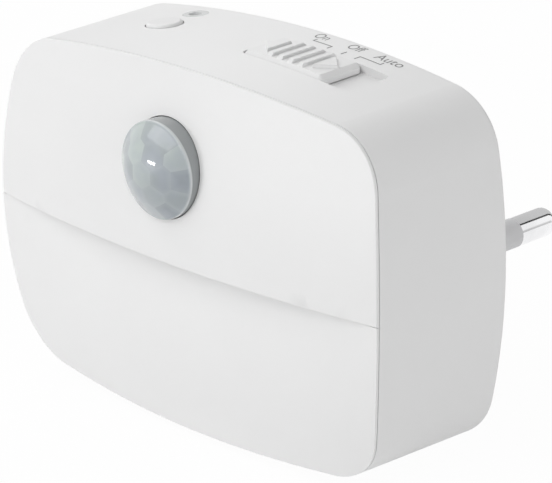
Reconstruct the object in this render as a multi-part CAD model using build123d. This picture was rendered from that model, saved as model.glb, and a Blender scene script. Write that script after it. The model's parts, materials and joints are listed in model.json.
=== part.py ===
"""Plug in night light with a motion sensor, a three-position slide switch and a push button.

Millimetres. +X to the right and -Y towards the viewer of the front, +Z up. The origin lies midway between
the two mains pins, on the plane where the light rests on the socket's face. The pins point along +Y.
"""
from build123d import *
from math import cos, hypot, radians, sin, sqrt
import os

# ---------------------------------------------------------------- body outline
body_width = 80.0
body_height = 56.0
body_depth = 30.1
stand_off = 9.4
plug_drop = 11.5
top_bow_radius = 202.0
bottom_bow_radius = 357.0
side_bow_radius = 98.0
top_corner_radius = 10.1
bottom_corner_radius = 9.5
side_draft = 0.55
top_draft = 0.8
crown_radius_across = 244.0
crown_radius_down = 103.5

# ---------------------------------------------------------------- mouldings
wall = 2.0
seam_gap = 0.15
skirt_clearance = 0.15
front_lip = 0.45
panel_thickness = 1.8
edge_round = 0.2
division_drop = 0.6
shelf_thickness = 1.2
shelf_depth = 6.5
diffuser_thickness = 1.6
diffuser_top_bow = 0.12
skirt_wall = 1.2
skirt_depth = 4.5
rear_cover_thickness = 2.0
rear_rim = 1.2
rear_edge_round = 0.9
face_touch = 0.05

# ---------------------------------------------------------------- plug
pin_pitch = 19.0
pin_diameter = 4.8
pin_bare_length = 9.0
pin_tip_round = 2.0
sleeve_length = 10.0
sleeve_bore = 4.0
sleeve_embed = 2.0
pin_shank_diameter = 5.4
boss_diameter = 34.0
boss_height = 25.0
boss_depth = 17.5
boss_wall = 2.0
boss_end_wall = 3.5
boss_edge_round = 1.5
boss_flange_width = 3.0
boss_flange_thickness = 2.0
boss_clearance = 0.1
pin_tube_wall = 1.5
pin_tube_length = 8.0
pin_tail_length = 3.0
pin_tail_diameter = 3.0
pad_width = 46.0
pad_rise = 20.5
pad_bottom_margin = 0.6
pad_corner_radius = 9.0
pad_edge_round = 1.2
strip_thickness = 0.5
strip_width = 4.4
strip_drop = 2.0
strip_tab_width = 1.8
strip_tab_tail = 0.6

# ---------------------------------------------------------------- boards
board_thickness = 1.6
board_side_margin = 12.0
board_top_margin = 6.0
board_bottom_margin = 6.0
board_corner_radius = 6.0
board_post_diameter = 5.5
board_post_side_inset = 2.9
board_post_end_inset = 6.6
screw_diameter = 2.2
screw_clearance = 0.15
screw_head_diameter = 4.2
screw_head_height = 1.3
screw_length = 7.0
screw_head_chamfer = 0.4
screw_slot = 0.6
screw_slot_depth = 0.7
case_post_diameter = 6.0
case_post_length = 12.0
case_post_inset = 4.2

# ---------------------------------------------------------------- motion sensor
lens_drop = 14.4
lens_diameter = 14.75
lens_rim = 1.3
lens_dome = 3.2
lens_wall = 0.7
lens_flange_width = 1.2
lens_flange_thickness = 0.8
lens_clearance = 0.12
lens_inner_facets = 6
lens_outer_facets = 12
lens_inner_tilt = 21.0
lens_outer_tilt = 38.0
retainer_width = 2.4
retainer_thickness = 1.2
retainer_rim = 0.8
can_diameter = 8.2
can_height = 3.6
can_wall = 0.4
header_diameter = 9.1
header_thickness = 0.7
window_width = 4.6
window_height = 3.6
window_thickness = 0.5
sensor_focus = 6.5
sensor_lead_diameter = 0.45
sensor_lead_circle = 5.1
spacer_diameter = 9.6
spacer_bore = 6.6

# ---------------------------------------------------------------- slide switch
switch_from_side = 30.0
switch_from_back = 10.95
detent_pitch = 2.6
knob_length = 15.8
knob_width = 8.6
knob_chamfer = 0.6
knob_proud = 0.42
knob_end_gap = 0.3
knob_corner_radius = 0.8
knob_side_gap = 0.17
knob_floor_gap = 0.15
recess_depth = 1.2
recess_floor = 0.8
recess_corner_radius = 1.1
bar_pitch = 2.05
bar_width = 0.85
bar_height = 0.45
bar_length = 6.6
bar_count = 4
arrow_base = 5.2
arrow_reach = 2.55
arrow_offset = 4.6
stem_length = 4.0
stem_width = 2.6
stem_gap = 0.3
actuator_length = 2.4
actuator_width = 1.6
actuator_height = 2.2
actuator_fit = 0.05
frame_length = 15.0
frame_width = 5.0
frame_height = 4.2
frame_metal = 0.4
frame_drop = 0.9
switch_base_height = 1.4
contact_length = 4.2
contact_width = 2.6
contact_thickness = 0.4
contact_clearance = 0.1
terminal_pitch = 2.6
terminal_count = 4
terminal_width = 0.7
terminal_metal = 0.35
terminal_tail = 1.2

# ---------------------------------------------------------------- push button
button_from_side = 21.1
button_from_back = 11.3
button_diameter = 5.6
button_gap = 0.2
button_proud = 0.45
button_edge_round = 0.5
button_flange = 0.8
button_flange_thickness = 0.8
button_travel = 0.4
button_rest_gap = 0.12
button_stem_diameter = 3.6
tact_size = 6.0
tact_body_height = 3.4
tact_cover_thickness = 0.3
tact_plunger_diameter = 3.4
tact_plunger_height = 1.4
tact_plunger_depth = 0.5
button_stem_length = 0.9

# ---------------------------------------------------------------- light sensor
window_from_side = 20.8
window_from_back = 4.6
light_window_diameter = 4.1
light_window_lens = 2.2
light_window_flange = 0.45
light_window_flange_thickness = 0.6
photocell_diameter = 4.2
photocell_height = 2.4
photocell_gap = 0.3
photocell_lead_diameter = 0.5
photocell_lead_pitch = 2.54
photocell_lead_drop = 6.0
light_window_dimple = 0.5

# ---------------------------------------------------------------- light source
led_board_side_margin = 12.0
led_board_height = 15.0
led_board_thickness = 1.2
led_board_gap = 4.85
led_board_bottom_margin = 5.4
led_count = 8
led_rows = 2
led_length = 3.5
led_width = 2.8
led_thickness = 0.8
led_row_pitch = 7.0
reflector_wall = 1.0
reflector_floor = 0.8
reflector_depth = 5.0
reflector_flare = 1.4
reflector_window_margin = 0.3
header_pin_count = 4
header_pitch = 2.54
header_pin_width = 0.64
header_bar_width = 2.5

# ---------------------------------------------------------------- parts on the board
chip_length = 8.6
chip_width = 3.9
chip_thickness = 1.5
chip_lead_count = 7
chip_lead_pitch = 1.27
chip_lead_width = 0.42
rectifier_length = 4.7
rectifier_width = 3.9
rectifier_thickness = 1.6
fuse_diameter = 3.4
fuse_length = 9.0
fuse_lead_diameter = 0.6
fuse_lead_pitch = 12.5
film_length = 13.0
film_width = 11.0
film_depth = 6.0
film_edge_round = 0.8
film_lead_pitch = 10.0
part_lead_diameter = 0.6
can_cap_diameter = 8.0
can_cap_length = 11.5
can_cap_lead_pitch = 3.5
can_cap_lead_reach = 1.6
can_cap_groove = 0.4
chip_stand = 0.1
chip_lead_metal = 0.2
chip_lead_reach = 1.05
chip_side_inset = 8.0
chip_rise = 9.0
lead_tail = 1.0
part_gap = 0.1
part_spacing = 2.0
pad_wall_margin = 2.6

# ---------------------------------------------------------------- planes and places worked out from the sizes
y_front = -(stand_off + body_depth)
y_back = -stand_off
z_body = plug_drop
half_width = body_width / 2
half_height = body_height / 2
far = body_width
crown_axis_y = y_front + crown_radius_down
switch_x = half_width - switch_from_side
switch_y = y_back - switch_from_back
button_x = button_from_side - half_width
button_y = y_back - button_from_back
window_x = window_from_side - half_width
window_y = y_back - window_from_back
switch_travel = 2 * detent_pitch
lens_z = z_body + half_height - lens_drop
board_front_y = switch_y + frame_width / 2 + part_gap
board_back_y = board_front_y + board_thickness
pin_face_y = boss_depth
pin_tip_y = pin_face_y + sleeve_length + pin_bare_length
cover_inner_y = y_back - rear_cover_thickness


def depth_share(y):
    """How far y lies from the front apex to the back edge, as a share of the body's depth."""
    return (y - y_front) / body_depth


def top_z(x, y, inset=0.0):
    """Height of the bowed, drafted top surface at x and y, moved in by inset."""
    crest = z_body + half_height + top_draft * depth_share(y)
    radius = top_bow_radius
    return crest - radius + sqrt((radius - inset) ** 2 - x**2)


def crown_y(x, z, depth=0.0):
    """Y of the crowned front at x and z, moved back by depth."""
    across = crown_radius_across - depth
    down = crown_radius_down - depth
    ring = down - across + sqrt(across**2 - x**2)
    return crown_axis_y - sqrt(ring**2 - (z - z_body) ** 2)


def upright(y):
    """Plane across the body at y: local x is +X, local y is +Z, the normal is -Y, centred on the body."""
    return Plane(origin=(0, y, z_body), x_dir=(1, 0, 0), z_dir=(0, -1, 0))


def at_plug(y):
    """Plane across the plug at y, centred between the pins, with its normal along +Y."""
    return Plane(origin=(0, y, 0), x_dir=(-1, 0, 0), z_dir=(0, 1, 0))


def level(z, x=0.0, y=0.0):
    """Level plane at z, with its normal up."""
    return Plane(origin=(x, y, z), x_dir=(1, 0, 0), z_dir=(0, 0, 1))


def block(x0, x1, y0, y1, z0, z1):
    """Box between two corners."""
    centre = ((x0 + x1) / 2, (y0 + y1) / 2, (z0 + z1) / 2)
    return Pos(*centre) * Box(abs(x1 - x0), abs(y1 - y0), abs(z1 - z0))


def bar_y(x, z, width, height, y0, y1):
    """Box from y0 to y1 on a rectangle centred at x and z."""
    return block(x - width / 2, x + width / 2, y0, y1, z - height / 2, z + height / 2)


def bar_z(x, y, length, width, z0, z1):
    """Box from z0 to z1 on a rectangle centred at x and y."""
    return block(x - length / 2, x + length / 2, y - width / 2, y + width / 2, z0, z1)


def rod_y(x, z, y0, y1, diameter):
    """Round bar along Y."""
    plane = Plane(origin=(x, y0, z), x_dir=(1, 0, 0), z_dir=(0, 1, 0))
    return extrude(plane * Circle(diameter / 2), amount=y1 - y0)


def rod_x(x0, x1, y, z, diameter):
    """Round bar along X."""
    plane = Plane(origin=(x0, y, z), x_dir=(0, 1, 0), z_dir=(1, 0, 0))
    return extrude(plane * Circle(diameter / 2), amount=x1 - x0)


def rod_z(x, y, z0, z1, diameter):
    """Round bar along Z."""
    return extrude(level(z0, x, y) * Circle(diameter / 2), amount=z1 - z0)


def join_point(bow_centre, bow_radius, side_centre, side_radius, corner_radius, upper):
    """Centre of a corner arc that is tangent inside to a bow and to a side arc."""
    reach_bow = bow_radius - corner_radius
    reach_side = side_radius - corner_radius
    gap = hypot(side_centre, bow_centre)
    along = (reach_bow**2 - reach_side**2 + gap**2) / (2 * gap)
    rise = sqrt(reach_bow**2 - along**2)
    ux, uz = side_centre / gap, -bow_centre / gap
    sign = 1 if upper else -1
    first = (along * ux - rise * uz, bow_centre + along * uz + rise * ux)
    second = (along * ux + rise * uz, bow_centre + along * uz - rise * ux)
    return max(first, second, key=lambda point: (point[0] > 0, sign * point[1]))


def on_arc(centre, radius, towards):
    """Point of a circle in the direction of another point, seen from the circle's centre."""
    reach = hypot(towards[0] - centre[0], towards[1] - centre[1])
    return (
        centre[0] + radius * (towards[0] - centre[0]) / reach,
        centre[1] + radius * (towards[1] - centre[1]) / reach,
    )


def corner_centres(y):
    """Centres of the outline's upper and lower right corner arcs at y, seen from the body's middle."""
    half_x = half_width + side_draft * depth_share(y)
    half_z = half_height + top_draft * depth_share(y)
    side = half_x - side_bow_radius
    high = join_point(
        half_z - top_bow_radius, top_bow_radius, side, side_bow_radius, top_corner_radius, True
    )
    low = join_point(
        bottom_bow_radius - half_z, bottom_bow_radius, side, side_bow_radius, bottom_corner_radius, False
    )
    return high, low


def outline(y, inset=0.0):
    """Face of the body's eight-arc outline at y, moved in by inset."""
    share = depth_share(y)
    half_x = half_width + side_draft * share - inset
    half_z = half_height + top_draft * share - inset
    top_c = top_corner_radius - inset
    low_c = bottom_corner_radius - inset
    top_centre = (0, half_z - top_bow_radius + inset)
    low_centre = (0, bottom_bow_radius - inset - half_z)
    side_centre = (half_x - side_bow_radius + inset, 0)
    high, low = corner_centres(y)
    top_end = on_arc(high, top_c, (2 * high[0] - top_centre[0], 2 * high[1] - top_centre[1]))
    side_top = on_arc(high, top_c, (2 * high[0] - side_centre[0], 2 * high[1]))
    side_low = on_arc(low, low_c, (2 * low[0] - side_centre[0], 2 * low[1]))
    low_end = on_arc(low, low_c, (2 * low[0] - low_centre[0], 2 * low[1] - low_centre[1]))
    high_mid = on_arc(high, top_c, (top_end[0] + side_top[0] - high[0], top_end[1] + side_top[1] - high[1]))
    low_mid = on_arc(low, low_c, (low_end[0] + side_low[0] - low[0], low_end[1] + side_low[1] - low[1]))
    left = lambda point: (-point[0], point[1])
    edges = [
        ThreePointArc(left(top_end), (0, half_z), top_end),
        ThreePointArc(top_end, high_mid, side_top),
        ThreePointArc(side_top, (half_x, 0), side_low),
        ThreePointArc(side_low, low_mid, low_end),
        ThreePointArc(low_end, (0, -half_z), left(low_end)),
        ThreePointArc(left(low_end), left(low_mid), left(side_low)),
        ThreePointArc(left(side_low), (-half_x, 0), left(side_top)),
        ThreePointArc(left(side_top), left(high_mid), left(top_end)),
    ]
    return upright(y) * make_face(edges)


def body_block(y0, y1, inset=0.0):
    """Drafted solid with the body's outline from y0 back to y1."""
    return loft([outline(y0, inset), outline(y1, inset)], ruled=True)


def behind_crown(depth=0.0):
    """Everything behind the doubly curved front, moved back by depth: an arc turned about a level axis."""
    across = crown_radius_across - depth
    apex = y_front + depth
    edge = apex + across - sqrt(across**2 - far**2)
    arc = ThreePointArc((-far, edge), (0, apex), (far, edge))
    closing = Polyline((far, edge), (far, crown_axis_y), (-far, crown_axis_y), (-far, edge))
    profile = level(z_body) * make_face([arc, closing])
    return revolve(profile, Axis((0, crown_axis_y, z_body), (1, 0, 0)))


def behind_diffuser(depth=0.0):
    """Everything behind the diffuser's face: level sections whose bow grows from the top to the bottom."""
    top = z_body - division_drop
    bottom = z_body - half_height
    sections = []
    for share in (-0.3, 0.0, 0.35, 0.7, 1.0, 1.3):
        z = top + (bottom - top) * share
        level_z = max(z, bottom - wall)
        side_y = crown_y(half_width, level_z) + depth
        crown_bow = crown_y(half_width, level_z) - crown_y(0, level_z)
        bow = diffuser_top_bow + (crown_bow - diffuser_top_bow) * max(share, 0.0)
        radius = (half_width**2 + bow**2) / (2 * bow)
        end_y = side_y - bow + radius - sqrt(radius**2 - far**2)
        arc = ThreePointArc((-far, end_y), (0, side_y - bow), (far, end_y))
        closing = Polyline((far, end_y), (far, 0), (-far, 0), (-far, end_y))
        sections.append(level(z) * make_face([arc, closing]))
    return loft(sections)


def division_side(upper, gap=0.0):
    """Half space above or below the level edge that parts the panel from the diffuser."""
    sheet = level(z_body - division_drop + gap) * Rectangle(2 * far, 3 * far)
    return extrude(sheet, amount=far if upper else -far)


def case_post_places():
    """X and Z of the four case screws, at a distance inside the outline's corner arcs."""
    high, low = corner_centres(y_back)
    places = []
    for centre, radius, up in ((high, top_corner_radius, 1), (low, bottom_corner_radius, -1)):
        reach = (radius - case_post_inset) / sqrt(2)
        places += [(side * (centre[0] + reach), z_body + centre[1] + up * reach) for side in (-1, 1)]
    return places


# ---------------------------------------------------------------- housing
switch_mid_x = switch_x + switch_travel / 2
slot_length = knob_length + switch_travel + 2 * knob_end_gap
slot_width = knob_width + 2 * knob_side_gap
recess_low_z = top_z(abs(switch_mid_x) + slot_length / 2, switch_y) - recess_depth
tray_z = recess_low_z - recess_floor


def under_top(rise):
    """Solid under a surface parallel to the body's top, at a height above it."""
    return body_block(y_front, y_back, -rise)


def slide_recess():
    """Pocket that the knob slides in, with rounded corners and a floor parallel to the bowed top."""
    mouth = RectangleRounded(slot_length, slot_width, recess_corner_radius)
    return extrude(level(tray_z, switch_mid_x, switch_y) * mouth, amount=far) - under_top(-recess_depth)


def stem_slot():
    """Slot through the recess floor for the knob's stem."""
    length = stem_length + switch_travel + 2 * stem_gap
    return bar_z(switch_mid_x, switch_y, length, stem_width + 2 * stem_gap, tray_z - wall, far)


def make_housing_shell():
    """Drafted ring of four bowed walls with the controls' openings in the top and four screw posts."""
    outer = body_block(y_front, y_back)
    outer = fillet(outer.edges().group_by(Axis.Y)[-1], rear_edge_round)
    shell = outer - body_block(y_front - wall, y_back + wall, wall)
    shell -= body_block(cover_inner_y, y_back + wall, rear_rim)
    shell &= behind_crown(front_lip + seam_gap)
    tray = bar_z(switch_mid_x, switch_y, slot_length + wall, slot_width + wall, tray_z, far)
    shell += tray & body_block(y_front, y_back, wall / 2)
    for x, z in case_post_places():
        post = rod_y(x, z, cover_inner_y - case_post_length, cover_inner_y, case_post_diameter)
        shell += post & body_block(y_front, y_back, wall / 2)
        shell -= rod_y(x, z, cover_inner_y - screw_length, cover_inner_y + wall, screw_diameter + face_touch)
    shell -= slide_recess()
    shell -= stem_slot()
    shell -= rod_z(button_x, button_y, z_body, far, button_diameter + 2 * button_gap)
    shell -= rod_z(window_x, window_y, z_body, far, light_window_diameter + face_touch)
    return shell


def front_cup(front, thickness):
    """Front plate with a locating skirt just inside the housing; front gives the solid behind a depth."""
    inset = wall + skirt_clearance
    cup = body_block(y_front - wall, y_back, inset) & front(0.0)
    cup -= body_block(y_front - 2 * wall, y_back + wall, inset + skirt_wall) & front(thickness)
    return cup - front(skirt_depth)


# ---------------------------------------------------------------- motion sensor places
lens_radius = lens_diameter / 2
lens_base_y = crown_y(0, lens_z)
lens_flange_radius = lens_radius + lens_flange_width
seat_radius = lens_flange_radius + lens_clearance + retainer_rim
lens_seat_y = crown_y(0, lens_z + seat_radius, panel_thickness)
can_front_y = lens_base_y + sensor_focus
can_back_y = can_front_y + can_height
header_back_y = can_back_y + header_thickness


def make_front_panel():
    """Crowned upper front with a thin lapping lip, a skirt, the lens seat and a light-tight shelf."""
    lip = (body_block(y_front - wall, y_back) & behind_crown()) - behind_crown(front_lip)
    seat = rod_y(0, lens_z, y_front, lens_seat_y, 2 * seat_radius) & behind_crown()
    shelf = body_block(y_front - wall, y_back, wall + skirt_clearance) & behind_crown()
    shelf &= division_side(True) & division_side(False, shelf_thickness)
    panel = (lip + front_cup(behind_crown, panel_thickness) + seat) & division_side(True)
    panel += shelf - behind_crown(shelf_depth)
    panel -= rod_y(0, lens_z, y_front - wall, lens_seat_y + wall, lens_diameter + 2 * lens_clearance)
    return fillet(panel.edges().filter_by(on_front_rim), edge_round)


def on_front_rim(edge):
    """Whether an edge lies on the crowned front and outside the lens's seat."""
    middle = edge.position_at(0.5)
    near_front = abs(middle.Y - crown_y(middle.X, middle.Z)) < face_touch / 10
    return near_front and hypot(middle.X, middle.Z - lens_z) > seat_radius


def make_diffuser():
    """Translucent lower front: nearly straight across under the panel, crowned where it meets the outline."""
    lip = (body_block(y_front - wall, y_back) & behind_diffuser()) - behind_crown(front_lip)
    return (lip + front_cup(behind_diffuser, diffuser_thickness)) & division_side(False, -face_touch)


# ---------------------------------------------------------------- rear cover and plug
cover_inset = rear_rim + skirt_clearance
pad_top = pad_rise
pad_bottom = z_body - half_height - top_draft + cover_inset + pad_bottom_margin
board_half = half_width - board_side_margin
board_top = z_body + half_height - board_top_margin
board_bottom = z_body - half_height + board_bottom_margin


def board_post_places():
    """X and Z of the four posts that carry the main board."""
    x = board_half - board_post_side_inset
    heights = (board_top - board_post_end_inset, board_bottom + board_post_end_inset)
    return [(side * x, z) for side in (-1, 1) for z in heights]


def pad_profile(y, inset=0.0):
    """Rounded rectangle of the stand-off pad at y."""
    plane = Plane(origin=(0, y, (pad_top + pad_bottom) / 2), x_dir=(-1, 0, 0), z_dir=(0, 1, 0))
    shape = RectangleRounded(
        pad_width - 2 * inset, pad_top - pad_bottom - 2 * inset, pad_corner_radius - inset
    )
    return plane * shape


def boss_profile(y, grow=0.0, extra=0.0):
    """Plug boss outline at y: a circle with two flats; grow moves it all out, extra only the round part."""
    radius = boss_diameter / 2 + grow + extra
    return at_plug(y) * (Circle(radius) & Rectangle(2 * radius, boss_height + 2 * grow))


def make_rear_cover():
    """Back plate with the hollow stand-off pad, the plug opening, board posts and screw recesses."""
    plate = body_block(cover_inner_y, y_back, cover_inset)
    pad = extrude(pad_profile(y_back - rear_cover_thickness / 2), amount=stand_off + rear_cover_thickness / 2)
    pad = fillet(pad.edges().group_by(Axis.Y)[-1], pad_edge_round)
    cover = plate + pad
    hollow = extrude(pad_profile(cover_inner_y - wall, wall), amount=stand_off + rear_cover_thickness)
    cover -= hollow
    cover -= extrude(boss_profile(-2 * wall, boss_clearance), amount=4 * wall)
    thread_end = board_front_y + screw_length
    for x, z in board_post_places():
        cover += rod_y(x, z, board_back_y, cover_inner_y, board_post_diameter)
        cover -= rod_y(x, z, board_back_y - wall, thread_end, screw_diameter + face_touch)
    head_hole = screw_head_diameter + 2 * screw_clearance
    for x, z in case_post_places():
        cover -= rod_y(x, z, cover_inner_y - wall, y_back + wall, screw_diameter + 2 * screw_clearance)
        cover -= rod_y(x, z, y_back - screw_head_height, y_back + wall, head_hole)
    return cover


flange_back_y = -wall
flange_front_y = flange_back_y - boss_flange_thickness
end_wall_y = boss_depth - boss_end_wall
shank_start_y = end_wall_y - pin_tube_length
sleeve_start_y = boss_depth - sleeve_embed
sleeve_end_y = boss_depth + sleeve_length


def make_plug_base():
    """Hollow round plug boss with two flats, a trapped flange and a tube round each pin."""
    boss = extrude(boss_profile(flange_front_y), amount=boss_depth - flange_front_y)
    boss = fillet(boss.edges().group_by(Axis.Y)[-1], boss_edge_round)
    boss += extrude(boss_profile(flange_front_y, 0.0, boss_flange_width), amount=boss_flange_thickness)
    hollow_start = flange_front_y - wall
    boss -= extrude(boss_profile(hollow_start, -boss_wall), amount=end_wall_y - hollow_start)
    for side in (-1, 1):
        x = side * pin_pitch / 2
        boss += rod_y(x, 0, shank_start_y, end_wall_y, pin_shank_diameter + 2 * pin_tube_wall)
        boss -= rod_y(x, 0, shank_start_y - wall, boss_depth + wall, pin_shank_diameter + face_touch)
    return boss


def make_plug_pin(side):
    """Turned pin: a riveted tail, a thick shank, a neck under the sleeve and a bare rounded tip."""
    tail = pin_tail_diameter / 2
    shank = pin_shank_diameter / 2
    full = pin_diameter / 2
    neck = sleeve_bore / 2
    start = shank_start_y - pin_tail_length
    points = [
        (0, start), (tail, start), (tail, shank_start_y), (shank, shank_start_y), (shank, sleeve_start_y),
        (neck, sleeve_start_y), (neck, sleeve_end_y), (full, sleeve_end_y), (full, pin_tip_y), (0, pin_tip_y),
    ]
    profile = make_face(Polyline(*points, close=True))
    pin = revolve(profile, Axis.Y)
    pin = fillet(pin.edges().group_by(Axis.Y)[-1], pin_tip_round)
    return Pos(side * pin_pitch / 2, 0, 0) * pin


def make_pin_sleeve(side):
    """Insulating sleeve over the pin's neck, as thick as the bare tip, with a collar inside the boss."""
    x = side * pin_pitch / 2
    outside = rod_y(x, 0, boss_depth, sleeve_end_y, pin_diameter)
    outside += rod_y(x, 0, sleeve_start_y, boss_depth, pin_shank_diameter)
    return outside - rod_y(x, 0, sleeve_start_y - wall, sleeve_end_y + wall, sleeve_bore)


strip_z = boss_height / 2 - boss_wall - strip_drop


def make_contact_strip(side):
    """Brass strip riveted on the pin's tail, bent forward to the board and soldered through it."""
    x = side * pin_pitch / 2
    height = strip_z + strip_width / 2
    riser_y = shank_start_y - strip_thickness
    riser = bar_y(x, strip_z - height / 2, strip_width, height, riser_y, shank_start_y)
    riser -= rod_y(x, 0, riser_y - wall, shank_start_y + wall, pin_tail_diameter + face_touch)
    middle = strip_z - strip_thickness / 2
    run = bar_y(x, middle, strip_width, strip_thickness, board_back_y, shank_start_y)
    tab = bar_y(x, middle, strip_tab_width, strip_thickness, board_front_y - strip_tab_tail, board_back_y)
    return riser + run + tab


# ---------------------------------------------------------------- motion sensor
def make_sensor_lens():
    """Domed lens: smooth outside, two rings of flat facets inside, a round rim and a trapped flange."""
    rim_y = lens_base_y - lens_rim
    apex_y = rim_y - lens_dome
    sphere_radius = (lens_radius**2 + lens_dome**2) / (2 * lens_dome)
    centre = (0, apex_y + sphere_radius, lens_z)
    body = rod_y(0, lens_z, apex_y - wall, lens_seat_y, lens_diameter)
    body &= (Pos(*centre) * Sphere(sphere_radius)) + rod_y(0, lens_z, rim_y, lens_seat_y, lens_diameter)
    flange = rod_y(0, lens_z, lens_seat_y, lens_seat_y + lens_flange_thickness, 2 * lens_flange_radius)
    hollow = rod_y(0, lens_z, apex_y, lens_seat_y + wall, lens_diameter - 2 * lens_wall)
    for tilt, count in ((0.0, 1), (lens_inner_tilt, lens_inner_facets), (lens_outer_tilt, lens_outer_facets)):
        for index in range(count):
            hollow &= facet_side(centre, sphere_radius - lens_wall, tilt, 360.0 * index / count)
    return body + flange - hollow


def facet_side(centre, radius, tilt, turn):
    """Half space behind a flat facet at a distance from the dome's centre, tilted away from its axis."""
    lean = radians(tilt)
    round_axis = radians(turn)
    normal = (sin(lean) * cos(round_axis), -cos(lean), sin(lean) * sin(round_axis))
    plane = Plane(origin=centre, z_dir=normal).offset(radius)
    return extrude(plane * Rectangle(far, far), amount=-far)


def make_lens_retainer():
    """Ring that closes round the lens's flange and is staked to the panel's seat."""
    plate_y = lens_seat_y + lens_flange_thickness + face_touch
    ring = rod_y(0, lens_z, lens_seat_y, plate_y + retainer_thickness, 2 * seat_radius)
    ring -= rod_y(0, lens_z, lens_seat_y - wall, plate_y, 2 * (lens_flange_radius + lens_clearance))
    opening = 2 * (lens_flange_radius - retainer_width)
    return ring - rod_y(0, lens_z, lens_seat_y, plate_y + retainer_thickness + wall, opening)


def make_pir_can():
    """Drawn metal can with a square window in its front."""
    can = rod_y(0, lens_z, can_front_y, can_back_y, can_diameter)
    can -= rod_y(0, lens_z, can_front_y + can_wall, can_back_y + wall, can_diameter - 2 * can_wall)
    return can - bar_y(0, lens_z, window_width, window_height, can_front_y - wall, can_front_y + 2 * can_wall)


def make_pir_window():
    """Infrared filter glued behind the can's window."""
    y = can_front_y + can_wall
    lap = 2 * can_wall
    return bar_y(0, lens_z, window_width + lap, window_height + lap, y, y + window_thickness)


def pir_lead_places():
    """X and Z of the sensor's three leads, at three quarters of a circle."""
    radius = sensor_lead_circle / 2
    return [(-radius, lens_z), (0, lens_z - radius), (radius, lens_z)]


def make_pir_header():
    """Sensor base with a step inside the can and three leads that run through the board."""
    header = rod_y(0, lens_z, can_back_y, header_back_y, header_diameter)
    header += rod_y(0, lens_z, can_back_y - can_wall, can_back_y, can_diameter - 2 * can_wall - face_touch)
    for x, z in pir_lead_places():
        header += rod_y(x, z, header_back_y, board_back_y + lead_tail, sensor_lead_diameter)
    return header


def make_pir_spacer():
    """Plastic tube that holds the sensor off the board."""
    tube = rod_y(0, lens_z, header_back_y, board_front_y, spacer_diameter)
    return tube - rod_y(0, lens_z, header_back_y - wall, board_front_y + wall, spacer_bore)


# ---------------------------------------------------------------- slide switch
frame_top = tray_z - frame_drop
frame_bottom = frame_top - frame_height
switch_base_top = frame_bottom + switch_base_height
contact_z = switch_base_top + contact_clearance
terminal_z = (frame_bottom + switch_base_top) / 2
carrier_top = frame_top - frame_metal - actuator_fit


def make_slide_switch_base():
    """Insulating base of the slide switch."""
    return bar_z(switch_mid_x, switch_y, frame_length, frame_width, frame_bottom, switch_base_top)


def make_slide_switch_frame():
    """Metal cover of the slide switch, with a slot in its top for the actuator."""
    shell = bar_z(switch_mid_x, switch_y, frame_length, frame_width, switch_base_top, frame_top)
    inner_length = frame_length - 2 * frame_metal
    inner_width = frame_width - 2 * frame_metal
    shell -= bar_z(switch_mid_x, switch_y, inner_length, inner_width, switch_base_top - wall,
                   frame_top - frame_metal)
    slot_reach = actuator_length + switch_travel + 2 * frame_metal
    slot_side = actuator_width + frame_metal
    return shell - bar_z(switch_mid_x, switch_y, slot_reach, slot_side, frame_top - wall, frame_top + wall)


def terminal_xs():
    """X of the slide switch's terminals."""
    first = switch_mid_x - terminal_pitch * (terminal_count - 1) / 2
    return [first + terminal_pitch * index for index in range(terminal_count)]


def make_slide_switch_terminals():
    """Row of flat terminals from the switch base through the board."""
    y0 = switch_y + frame_width / 2
    y1 = board_back_y + terminal_tail
    return Compound([bar_y(x, terminal_z, terminal_width, terminal_metal, y0, y1) for x in terminal_xs()])


def make_slide_switch_contact():
    """Bridging contact that the actuator carries over the base."""
    return bar_z(switch_x, switch_y, contact_length, contact_width, contact_z, contact_z + contact_thickness)


def make_slide_switch_actuator():
    """Actuator block inside the cover, with a post up into the knob."""
    length = contact_length + 2 * frame_metal
    width = frame_width - 2 * (frame_metal + actuator_fit)
    carrier = bar_z(switch_x, switch_y, length, width, contact_z + contact_thickness, carrier_top)
    post_top = frame_top + actuator_height
    return carrier + bar_z(switch_x, switch_y, actuator_length, actuator_width, carrier_top, post_top)


def knob_relief():
    """Raised pattern of the knob: parallel bars between two arrowheads that point outwards."""
    relief = Sketch()
    for index in range(bar_count):
        relief += Pos(bar_pitch * (index - (bar_count - 1) / 2), 0) * Rectangle(bar_width, bar_length)
    for side in (-1, 1):
        base = side * arrow_offset
        tip = (base + side * arrow_reach, 0)
        relief += make_face(Polyline((base, -arrow_base / 2), tip, (base, arrow_base / 2), close=True))
    return relief


def make_slide_knob():
    """Bowed plate with chamfered edges, a raised pattern and a stem with a socket for the actuator."""
    knob = bar_z(switch_x, switch_y, knob_length, knob_width, tray_z, far)
    knob = fillet(knob.edges().filter_by(Axis.Z), knob_corner_radius) & under_top(knob_proud)
    knob = chamfer(top_edges(knob), knob_chamfer) - under_top(knob_floor_gap - recess_depth)
    inside_z = top_z(abs(switch_x) + knob_length / 2, switch_y)
    raised = extrude(level(inside_z, switch_x, switch_y) * knob_relief(), amount=far)
    knob += raised & under_top(knob_proud + bar_height)
    stem_bottom = frame_top + stem_gap
    knob += bar_z(switch_x, switch_y, stem_length, stem_width, stem_bottom, inside_z)
    socket_length = actuator_length + 2 * actuator_fit
    socket_width = actuator_width + 2 * actuator_fit
    socket_top = frame_top + actuator_height + actuator_fit
    return knob - bar_z(switch_x, switch_y, socket_length, socket_width, stem_bottom - wall, socket_top)


def top_edges(solid):
    """Edges round a solid's upper face."""
    return solid.faces().sort_by(Axis.Z)[-1].edges()


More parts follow.
